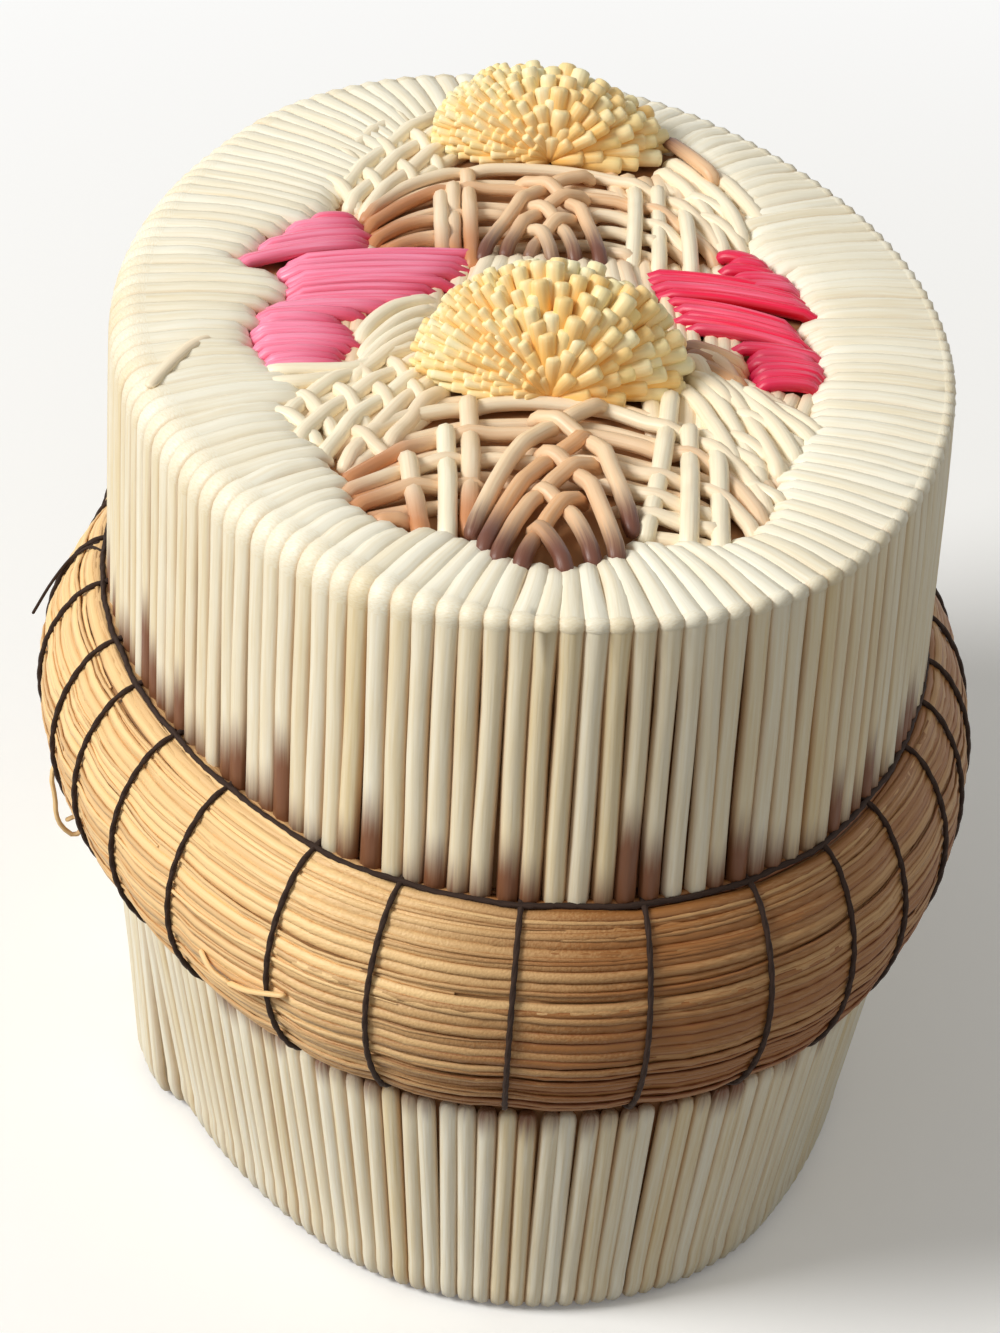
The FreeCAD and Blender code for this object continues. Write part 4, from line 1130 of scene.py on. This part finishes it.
def lay_patch(pile, corners, luck, pitch, height, crown, tones, root=0.0, jag=0.0):
    """Quills side by side from a near line to a far line, the near ends more uneven by the jag."""
    near_a, near_b, far_a, far_b = [spot(x, y, 0) for x, y in corners]
    direction = (far_a + far_b - near_a - near_b).normalized()
    across = Vector((-direction.y, direction.x, 0))
    near_breadth = abs((near_b - near_a).dot(across))
    far_breadth = abs((far_b - far_a).dot(across))
    count = max(2, round((near_breadth + far_breadth) / 2 / pitch) + 1)
    half_width = max(near_breadth, far_breadth) / (count - 1) * PATCH_FULLNESS_SHARE
    for i in range(count):
        share = i / (count - 1)
        start = near_a.lerp(near_b, share) + direction * luck.uniform(-0.7 - jag, 0.3 + 0.5 * jag) * MM
        end = far_a.lerp(far_b, share) + direction * luck.uniform(-0.3, 0.7) * MM
        quill_line(pile, start, end, half_width * luck.uniform(0.96, 1.1), PATCH_DEPTH,
                   height + luck.uniform(-0.08, 0.08) * MM, crown, PATCH_TUCK, luck, luck.uniform(*tones),
                   root)


DYED_PITCH = 1.08 * MM
DYED_HEIGHT = BARK_TOP + 0.9 * MM
DESIGN_HEIGHT = BARK_TOP + 0.85 * MM


class QUILLBOX_OT_dyed_quills(bpy.types.Operator):
    """Lay the pink leaves and the brown accent"""
    bl_idname = "quill_box.dyed_quills"
    bl_label = "Dyed quills"

    def execute(self, context):
        luck = random.Random(15)
        for name, table, tones in (("pink_leaf_left", PINK_LEFT_SHARES, (0.0, 0.28)),
                                   ("pink_leaf_right", PINK_RIGHT_SHARES, (0.6, 1.0))):
            pile = StrawPile()
            for corners in table:
                lay_patch(pile, corners, luck, DYED_PITCH, DYED_HEIGHT, crown=0.45 * MM, tones=tones,
                          root=2.4, jag=0.5)
            pile.piece(name + "_quills", "lid", "pink_quill", finish_of("pink_quill"), [name])
        pile = StrawPile()
        for corners in BROWN_ACCENT_SHARES:
            lay_patch(pile, corners, luck, DYED_PITCH, DYED_HEIGHT, crown=0.3 * MM, tones=(0.6, 1.0),
                      root=3.2)
        pile.piece("brown_accent_straws", "lid", "brown_quill", finish_of("chevron_quill"),
                   ["brown_accent_quills"])
        return {"FINISHED"}


class QUILLBOX_OT_pale_fill(bpy.types.Operator):
    """Lay the undyed quills between the leaves and beside the lattices"""
    bl_idname = "quill_box.pale_fill"
    bl_label = "Pale fill"

    def execute(self, context):
        luck = random.Random(16)
        base = DESIGN_HEIGHT
        half_width = sizes().design_width
        pile = StrawPile()
        for corners in WHITE_FILL_SHARES:
            lay_patch(pile, corners, luck, pitch=1.3 * MM, height=base, crown=0.3 * MM, tones=(0.0, 0.4))
        for corners in LOW_FILL_SHARES:
            lay_patch(pile, corners, luck, pitch=1.25 * MM, height=base - 0.5 * MM, crown=0.1 * MM,
                      tones=(0.1, 0.5))
        lay_family(pile, PALE_FILL_SHARES, [], base, half_width * 1.05, crown=0.4 * MM)
        crossing = [spot(x, y, LID_TOP + rise * MM) for x, y, rise in CROSSING_QUILL_SHARES]
        loose_strand(pile, crossing, half_width=0.62 * MM, half_depth=0.30 * MM, tone=0.2,
                     across=CROSSING_ACROSS)
        pile.piece("white_fill_straws", "lid", "white_quill", finish_of("lattice_quill"),
                   ["white_fill_quills"])
        crown = lift = 0.2 * MM
        for side, long_rows, short_rows in (("front", FRONT_DIAGONAL_SHARES, FRONT_CROSSING_SHARES),
                                            ("back", BACK_DIAGONAL_SHARES, BACK_CROSSING_SHARES)):
            pile = StrawPile()
            lay_family(pile, long_rows, short_rows, base, half_width * 1.08, crown, lift)
            lay_family(pile, short_rows, long_rows, base, half_width, crown, lift, first=1)
            pile.piece(side + "_diagonal_straws", "lid", "white_quill", finish_of("lattice_quill"),
                       [side + "_diagonal_quills"])
        return {"FINISHED"}


# How broadly a woven quill rises over another, and its rings and tucked ends
WEAVE_BREADTH = 1.1 * MM
FAMILY_RING_SPACING = 0.8 * MM
FAMILY_TUCK = 1.3 * MM
FAMILY_TUCK_DEPTH = 0.8 * MM


def line_distance(place, points):
    """Distance in plan from a place to a chain of points."""
    nearest = math.inf
    for first, second in zip(points, points[1:]):
        side = (second - first).xy
        reach = (place - first).xy
        share = min(1.0, max(0.0, reach.dot(side) / side.dot(side)))
        nearest = min(nearest, (reach - side * share).length)
    return nearest


def weave(own, others, height):
    """Height to add where a quill passes over or under the crossing quills of the other set."""
    def woven(place):
        rise = 0.0
        for i, chain in enumerate(others):
            over = 1 if (own + i) % 2 else -1
            rise += over * height * math.exp(-(line_distance(place, chain) / WEAVE_BREADTH) ** 2)
        return rise
    return woven


def design_chain(places):
    return [spot(*place, 0) for place in places]


def smooth_place(chain, share):
    """Point at a share of the way along a smooth curve through the points of a chain."""
    reach = share * (len(chain) - 1)
    low = min(len(chain) - 2, int(reach))
    t = reach - low
    first, second = chain[low], chain[low + 1]
    before = chain[low - 1] if low else first * 2 - second
    after = chain[low + 2] if low + 2 < len(chain) else second * 2 - first
    return (first * 2 + (second - before) * t + (before * 2 - first * 5 + second * 4 - after) * t * t
            + (first * 3 - before - second * 3 + after) * t ** 3) / 2


def lay_family(pile, rows, crossing_rows, height, half_width, crown, lift=0.32 * MM, first=0):
    """Lay a set of quills along their places, woven over and under a set that crosses them."""
    crossing = [design_chain(places) for tone, root, places in crossing_rows]
    for i, (tone, root, places) in enumerate(rows):
        chain = design_chain(places)
        length = chain_length(chain)
        woven = weave(i + first, crossing, lift)
        rings = straw_rings(length, half_width, max(9, round(length / FAMILY_RING_SPACING)))
        points = []
        for share, size in rings:
            point = smooth_place(chain, share)
            tuck = 2 - smooth(share * length / FAMILY_TUCK) - smooth((1 - share) * length / FAMILY_TUCK)
            rise = crown * math.sin(math.pi * share) - FAMILY_TUCK_DEPTH * tuck
            point.z = height + rise + woven(point)
            points.append(tuple(point))
        points = np.array(points)
        ahead = np.gradient(points[:, :2], axis=0)
        across = np.column_stack([-ahead[:, 1], ahead[:, 0], np.zeros(len(points))])
        grow = half_width * ring_sizes(rings)
        pile.lay(points, across, grow * 1.05, grow * 0.92, tone=tone, root=root or NO_ROOT)


def lattice(side, arches, low_arches, uprights, left_chevrons, right_chevrons, half_width):
    """One interlaced lattice: arches, uprights woven through them, and chevrons over their middle."""
    base = DESIGN_HEIGHT
    pile = StrawPile()
    lay_family(pile, low_arches, [], base - 0.55 * MM, half_width * 0.95, crown=0.1 * MM)
    lay_family(pile, arches, uprights, base, half_width * 0.97, crown=0.25 * MM)
    pile.piece(side + "_arch_straws", "lid", "tan_quill", finish_of("lattice_quill"),
               [side + "_lattice_arches"])
    pile = StrawPile()
    lay_family(pile, uprights, arches, base + 0.30 * MM, half_width * 1.04, crown=0.3 * MM, first=1)
    pile.piece(side + "_upright_straws", "lid", "tan_quill", finish_of("lattice_quill"),
               [side + "_lattice_uprights"])
    pile = StrawPile()
    height, crown, lift = base + 0.95 * MM, 0.3 * MM, 0.42 * MM
    lay_family(pile, left_chevrons, right_chevrons, height, half_width, crown, lift)
    lay_family(pile, right_chevrons, left_chevrons, height, half_width, crown, lift, first=1)
    pile.piece(side + "_chevron_straws", "lid", "brown_quill", finish_of("chevron_quill"),
               [side + "_lattice_chevrons"])


class QUILLBOX_OT_lattices(bpy.types.Operator):
    """Weave the two lattices of arches, uprights and chevrons"""
    bl_idname = "quill_box.lattices"
    bl_label = "Lattices"

    def execute(self, context):
        half_width = sizes().design_width
        lattice("front", FRONT_ARCH_SHARES, FRONT_LOW_ARCH_SHARES, FRONT_UPRIGHT_SHARES,
                FRONT_LEFT_CHEVRON_SHARES, FRONT_RIGHT_CHEVRON_SHARES, half_width * 1.06)
        lattice("back", BACK_ARCH_SHARES, BACK_LOW_ARCH_SHARES, BACK_UPRIGHT_SHARES,
                BACK_LEFT_CHEVRON_SHARES, BACK_RIGHT_CHEVRON_SHARES, half_width * 0.95)
        return {"FINISHED"}


def tuft_quill(pile, foot, tip, radius, luck):
    """One cut quill of a tuft, flaring to its soft blunt end."""
    up = Vector((0, 0, 1))
    length = (tip - foot).length
    sideways = (tip - foot).cross(up)
    if sideways.length < 0.05 * length:
        sideways = Vector((1, 0, 0))
    curl = up * luck.uniform(-0.1, 0.35) * MM
    cap = min(LONGEST_END_SHARE, radius / length)
    rings = [(0.0, 0.50), (0.3, 0.84), (0.6, 0.98), (1 - 0.9 * cap, 1.0), (1 - 0.30 * cap, 0.97),
             (1 - 0.06 * cap, 0.78), (1.0, 0.40)]
    points = [foot.lerp(tip, share) + curl * math.sin(math.pi * share) for share, size in rings]
    grow = radius * ring_sizes(rings)
    # The root colour, painted shade, covers 70 to 100 percent of the quill from its foot.
    pile.lay(points, sideways, grow, grow * 0.94, tone=luck.betavariate(1.4, 2.4),
             root=length / MM * luck.uniform(0.70, 1.0))


def scattered_share(index, base):
    """Share number index of a row of evenly scattered shares."""
    share, step = 0.0, 1.0
    while index:
        step /= base
        share += step * (index % base)
        index //= base
    return share


# Quills tried for a tuft, the shortest and lowest that stay, their spacing as a share of two radii,
# the side and size of the two lobes behind them, which paint the shade between the tips, and the degrees
# from right to left that they span
TUFT_CANDIDATES = 5200
SHORTEST_TUFT_QUILL = 2.4 * MM
LOWEST_TUFT_TIP = BARK_TOP + 1.2 * MM
TUFT_SPACING_SHARE = 0.78
TUFT_CORE_SHARES = ((-1, 0.56), (1, 0.46))
SWING_START = -4
SWING_RANGE = 188


def tuft(name, node, luck, place_shares, reaches, root_forward, fullness, slope):
    """A tuft of cut quills that spring from one root at the front of a wide mound. Fine ones stand
    close on its left, and thick ones show their length on its right and over its top. The reaches are
    the mound's across, along and upward, and the slope lowers its right."""
    turn = sizes().design_turn
    across = Vector((math.cos(turn), -math.sin(turn), 0))
    along = Vector((math.sin(turn), math.cos(turn), 0))
    up = Vector((0, 0, 1))
    centre = spot(*place_shares, BARK_TOP)
    reach_across, reach_along, height = reaches
    root = centre - along * root_forward + up * 1.2 * MM

    def on_mound(direction, size):
        """Where a line from the root leaves the mound."""
        low, high = 0.0, 3 * reach_across
        for step in range(20):
            middle = (low + high) / 2
            place = root + direction * middle - centre
            side = place.dot(across) / reach_across
            level = place.z / height / (1 - slope * smooth(side * 1.3))
            shares = (side, place.dot(along) / reach_along, level)
            if sum(abs(share) ** fullness for share in shares) < size ** fullness:
                low = middle
            else:
                high = middle
        return root + direction * low

    pile = StrawPile()
    # Two lobes inside the tuft, wholly in the root colour, paint the shade seen between the quills' tips.
    for side, share in TUFT_CORE_SHARES:
        middle = centre + across * side * reach_across * 0.34 + along * 0.8 * MM
        levels = [0.0, 0.25, 0.5, 0.75, 0.92, 1.0]
        points = [middle + up * height * share * level for level in levels]
        grow = share * np.array([math.sqrt(max(0.02, 1 - level ** 2.5)) for level in levels])
        pile.lay(points, across, reach_across * 0.62 * grow, reach_along * grow, tone=0.9,
                 root=WHOLLY_SHADED_ROOT, sides=14)
    laid = []
    for i in range(TUFT_CANDIDATES):
        swing = math.radians(SWING_START + SWING_RANGE * scattered_share(i + 1, 2))
        forward = 1 - 2 * scattered_share(i + 1, 3) ** 0.72
        level = math.sqrt(1 - forward * forward)
        direction = (across * math.cos(swing) + up * math.sin(swing)) * level - along * forward
        left = smooth((math.degrees(swing) - 92) / 45)
        if forward > 0.26 and luck.random() > 0.025 + 0.975 * left:
            continue
        radius = sizes().tuft_quill * (1.60 - 0.74 * left) * luck.uniform(0.88, 1.1)
        sparse = 1 + 0.35 * (1 - left) * smooth((forward + 0.05) / 0.25)
        tip = on_mound(direction, luck.uniform(0.90, 1.02))
        tip.z = max(tip.z, LOWEST_TUFT_TIP)
        if (tip - root).length < SHORTEST_TUFT_QUILL:
            continue
        if any((tip - other).length < TUFT_SPACING_SHARE * (radius + other_radius) * sparse
               for other, other_radius in laid):
            continue
        laid.append((tip, radius))
        tuft_quill(pile, root.lerp(tip, 0.06), tip, radius, luck)
    pile.piece(name, "lid", "golden_quill", finish_of("tuft_quill"), [node])


class QUILLBOX_OT_tufts(bpy.types.Operator):
    """Raise the two tufts of cut quills"""
    bl_idname = "quill_box.tufts"
    bl_label = "Tufts"

    def execute(self, context):
        luck = random.Random(18)
        tuft("front_tuft_straws", "front_tuft", luck, place_shares=(0.0, -0.185),
             reaches=(11.9 * MM, 5.9 * MM, 11.4 * MM), root_forward=4.7 * MM, fullness=2.0, slope=0.0)
        tuft("back_tuft_straws", "back_tuft", luck, place_shares=(0.0, 0.705),
             reaches=(11.1 * MM, 5.3 * MM, 8.8 * MM), root_forward=4.1 * MM, fullness=2.3, slope=0.24)
        return {"FINISHED"}


# Paths of the loose ends on the bundle: shares round the outline and down the section, and the
# height above its surface in millimetres
BROKEN_BLADE_SHARES = [[(0.6376, 0.57, 0.35), (0.644, 0.60, 0.8), (0.6513, 0.617, 0.6)],
                       [(0.6505, 0.612, 0.6), (0.660, 0.57, 0.9), (0.6701, 0.533, 0.35)]]
LOOSE_THREAD_SHARES = [[(0.470, 0.08, 0.2), (0.4685, 0.18, 0.4), (0.4705, 0.29, 0.8), (0.475, 0.40, 1.5)],
                       [(0.4775, 0.06, 0.3), (0.472, 0.10, 0.5), (0.4695, 0.17, 0.4)]]

# The hanging blade's start on the bundle, and its millimetres to the right, to the back and down from it
HANGING_START_SHARES = (0.5314, 0.60)
HANGING_BLADE_STEPS = [
    (0.0, 0.0, -0.6), (-0.5, -0.1, 1.2), (-0.2, 0.0, 3.4), (-0.1, 0.1, 5.2), (0.4, 0.2, 6.6),
    (1.5, 0.3, 7.6), (2.3, 0.3, 6.6), (1.7, 0.2, 5.6), (0.7, 0.1, 5.9)]

# The crossing quill's places on the top, and its millimetres above the border
CROSSING_QUILL_SHARES = [
    (-0.92, -0.31, -0.40), (-0.88, -0.24, -0.08), (-0.835, -0.17, -0.05), (-0.79, -0.12, -0.40)]
STRAY_QUILL_SHARES = [(0.29, 0.715), (0.42, 0.56)]
LOOSE_ACROSS = Vector((0.3, -0.9, 0.35))
CROSSING_ACROSS = Vector((0.9, -0.43, 0))


def off_bundle(share, down, lift):
    """A place at some millimetres outward from the bundle's surface."""
    return on_bundle(share, down, 0.0)[0] + oval_station(share)[1] * lift * MM


def loose_strand(pile, places, half_width, half_depth, tone, across=LOOSE_ACROSS):
    """A strand with round ends along some places."""
    lay_curve(pile, lambda share: smooth_place(places, share), chain_length(places), across, half_width,
              half_depth, middle=14, tone=tone, sides=6)


class QUILLBOX_OT_loose_ends(bpy.types.Operator):
    """Add the broken and hanging blades, the stray thread ends and the brown quill end"""
    bl_idname = "quill_box.loose_ends"
    bl_label = "Loose ends"

    def execute(self, context):
        pile = StrawPile()
        for path in BROKEN_BLADE_SHARES:
            loose_strand(pile, [off_bundle(*place) for place in path], half_width=0.42 * MM,
                         half_depth=0.22 * MM, tone=-0.1)
        top = off_bundle(*HANGING_START_SHARES, 0.0)
        hanging = [top + Vector((across, along, -drop)) * MM for across, along, drop in HANGING_BLADE_STEPS]
        loose_strand(pile, hanging, half_width=0.36 * MM, half_depth=0.22 * MM, tone=-0.1)
        pile.piece("loose_blades", "lid", "sweetgrass", finish_of("sweetgrass"))
        pile = StrawPile()
        for path in LOOSE_THREAD_SHARES:
            loose_strand(pile, [off_bundle(*place) for place in path], half_width=0.15 * MM,
                         half_depth=0.15 * MM, tone=0.3)
        pile.piece("loose_thread_ends", "lid", "dark_thread", finish_of("thread"))
        luck = random.Random(19)
        pile = StrawPile()
        start, end = design_chain(STRAY_QUILL_SHARES)
        quill_line(pile, start, end, half_width=0.72 * MM, half_depth=0.6 * MM,
                   height=BARK_TOP + 1.9 * MM, crown=0.3 * MM, tuck=0.8 * MM, luck=luck, tone=0.6, root=4.0)
        pile.piece("stray_quill_ends", "lid", "brown_quill", finish_of("chevron_quill"))
        return {"FINISHED"}


class QUILLBOX_OT_bark(bpy.types.Operator):
    """Give the bark sheets and the seam thread their finishes"""
    bl_idname = "quill_box.bark"
    bl_label = "Bark"

    def execute(self, context):
        for node in ("lid_top_panel", "lid_side_band", "base_side_band"):
            dress(node, finish_of("hidden_bark"))
        for node in ("base_floor_panel", "base_floor_liner", "base_collar", "lid_side_liner",
                     "lid_top_liner"):
            dress(node, finish_of("birch_bark"))
        dress("collar_seam_thread", finish_of("thread"))
        return {"FINISHED"}


def dress(node, finish):
    """Put a finish on a piece of the frame."""
    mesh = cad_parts[node].data
    if mesh.materials:
        mesh.materials[0] = finish
    else:
        mesh.materials.append(finish)


class QUILLBOX_OT_stage(bpy.types.Operator):
    """Set the pale floor, the lamps and the camera"""
    bl_idname = "quill_box.stage"
    bl_label = "Stage"

    def execute(self, context):
        set_floor()
        set_light()
        set_camera()
        return {"FINISHED"}


# The floor's radius, and the distances from the box at which it starts and ends fading to white
FLOOR_RADIUS = 4.0
FADE_START = 0.07
FADE_END = 0.36


def grey(level):
    return (level, level, level, 1.0)


def set_floor():
    """A pale floor that throws only a little light back on the box. It keeps the box's shadow near it
    and glows white further off."""
    form = bmesh.new()
    bmesh.ops.create_circle(form, cap_ends=True, segments=96, radius=FLOOR_RADIUS)
    mesh = bpy.data.meshes.new("floor")
    form.to_mesh(mesh)
    form.free()
    floor = bpy.data.objects.new("floor", mesh)
    bpy.context.scene.collection.objects.link(floor)
    finish, tree, shader = new_finish("pale_floor")
    seen = seen_directly(tree)
    place = add_node(tree, "ShaderNodeTexCoord").outputs["Object"]
    distance = add_node(tree, "ShaderNodeVectorMath", {0: place}, operation="LENGTH").outputs["Value"]
    away = ease(tree, distance, FADE_START, FADE_END)
    pale = mix_colour(tree, away, grey(0.97), grey(0.02))
    colour = mix_colour(tree, seen, (0.30, 0.29, 0.28, 1.0), pale)
    tree.links.new(colour, shader.inputs["Base Color"])
    faded = mix_colour(tree, away, grey(0.10), grey(0.98))
    glow = mix_colour(tree, seen, grey(0.0), faded)
    tree.links.new(glow, shader.inputs["Emission Color"])
    shader.inputs["Emission Strength"].default_value = 1.0
    shader.inputs["Roughness"].default_value = 0.9
    shader.inputs["Specular IOR Level"].default_value = 0.1
    mesh.materials.append(finish)


def seen_directly(tree):
    """One for camera, glossy and transmission rays, and nought for the rest."""
    rays = add_node(tree, "ShaderNodeLightPath")
    seen = calculate(tree, "MAXIMUM", rays.outputs["Is Camera Ray"], rays.outputs["Is Glossy Ray"])
    return calculate(tree, "MAXIMUM", seen, rays.outputs["Is Transmission Ray"])


def add_lamp(name, place, target, size, power, tint):
    lamp = bpy.data.lights.new(name, "AREA")
    lamp.shape = "DISK"
    lamp.size = size
    lamp.energy = power
    lamp.color = tint
    holder = bpy.data.objects.new(name, lamp)
    holder.location = place
    holder.rotation_mode = "QUATERNION"
    holder.rotation_quaternion = (Vector(target) - Vector(place)).to_track_quat("-Z", "Y")
    bpy.context.scene.collection.objects.link(holder)


LIGHT_PLACE = (-1.11, -0.24, 0.93)
LIGHT_TARGET = (0, 0, 0.04)
LIGHT_SIZE = 0.6
LIGHT_WATTS = 18.0
LIGHT_TINT = (1.0, 0.99, 0.965)
AMBIENT = (1.0, 0.98, 0.91, 1.0)
AMBIENT_STRENGTH = 0.345


def set_light():
    add_lamp("window_light", LIGHT_PLACE, LIGHT_TARGET, LIGHT_SIZE, LIGHT_WATTS, LIGHT_TINT)
    world = bpy.context.scene.world or bpy.data.worlds.new("studio")
    bpy.context.scene.world = world
    world.use_nodes = True
    tree = world.node_tree
    tree.nodes.clear()
    seen = seen_directly(tree)
    ambient = add_node(tree, "ShaderNodeBackground", {"Color": AMBIENT, "Strength": AMBIENT_STRENGTH})
    plain = add_node(tree, "ShaderNodeBackground", {"Color": WHITE, "Strength": 1.0})
    mixed = add_node(tree, "ShaderNodeMixShader", {0: seen, 1: ambient.outputs[0], 2: plain.outputs[0]})
    add_node(tree, "ShaderNodeOutputWorld", {"Surface": mixed.outputs[0]})


def set_camera():
    """The photograph's view: its place, pitch, yaw and roll from a fit to the lid's rim and heights."""
    photo_width, photo_height = 1000, 1333
    focal_pixels = 4424
    sensor = 36.0
    stand_off = 335.7 * MM
    rise = 168.7 * MM
    turn, pitch, yaw, roll = -0.1571, 0.5455, -0.0019, 0.0601
    data = bpy.data.cameras.new("photo_view")
    data.sensor_width = sensor
    data.sensor_fit = "AUTO"
    data.lens = focal_pixels / max(photo_width, photo_height) * sensor
    data.clip_start = 0.02
    camera = bpy.data.objects.new("photo_view", data)
    lid_top = Matrix.Translation((0, 0, LID_TOP))
    tilt = (Euler((math.pi / 2 - pitch, 0, 0)).to_matrix() @ Euler((0, -yaw, 0)).to_matrix()
            @ Euler((0, 0, roll)).to_matrix())
    place = Matrix.Translation((0, -stand_off, rise))
    camera.matrix_world = lid_top @ Matrix.Rotation(turn, 4, "Z") @ place @ tilt.to_4x4()
    bpy.context.scene.collection.objects.link(camera)
    bpy.context.scene.camera = camera
    bpy.context.scene.view_settings.view_transform = "Standard"


class QUILLBOX_PT_panel(bpy.types.Panel):
    """Lists the quill box's steps"""
    bl_idname = "QUILLBOX_PT_panel"
    bl_label = "Quill Box"
    bl_space_type = "VIEW_3D"
    bl_region_type = "UI"
    bl_category = "Quill Box"

    def draw(self, context):
        for step in STEPS:
            self.layout.operator(step.bl_idname)
        for group in (context.scene.quill_box.sizes, context.scene.quill_box.colours):
            box = self.layout.box()
            for key in group.__annotations__:
                box.prop(group, key)


STEPS = (
    QUILLBOX_OT_bark, QUILLBOX_OT_base_quills, QUILLBOX_OT_lid_quills, QUILLBOX_OT_grass_core,
    QUILLBOX_OT_grass_bundle, QUILLBOX_OT_stitching, QUILLBOX_OT_dyed_quills, QUILLBOX_OT_pale_fill,
    QUILLBOX_OT_lattices, QUILLBOX_OT_tufts, QUILLBOX_OT_loose_ends, QUILLBOX_OT_stage)
CLASSES = (QuillSizes, QuillColours, QuillBoxSettings, *STEPS, QUILLBOX_PT_panel)


def register():
    for kind in CLASSES:
        bpy.utils.register_class(kind)
    bpy.types.Scene.quill_box = PointerProperty(type=QuillBoxSettings)


def unregister():
    del bpy.types.Scene.quill_box
    for kind in reversed(CLASSES):
        bpy.utils.unregister_class(kind)


def main():
    register()
    for step in STEPS:
        family, title = step.bl_idname.split(".")
        getattr(getattr(bpy.ops, family), title)()


if __name__ == "__main__":
    main()
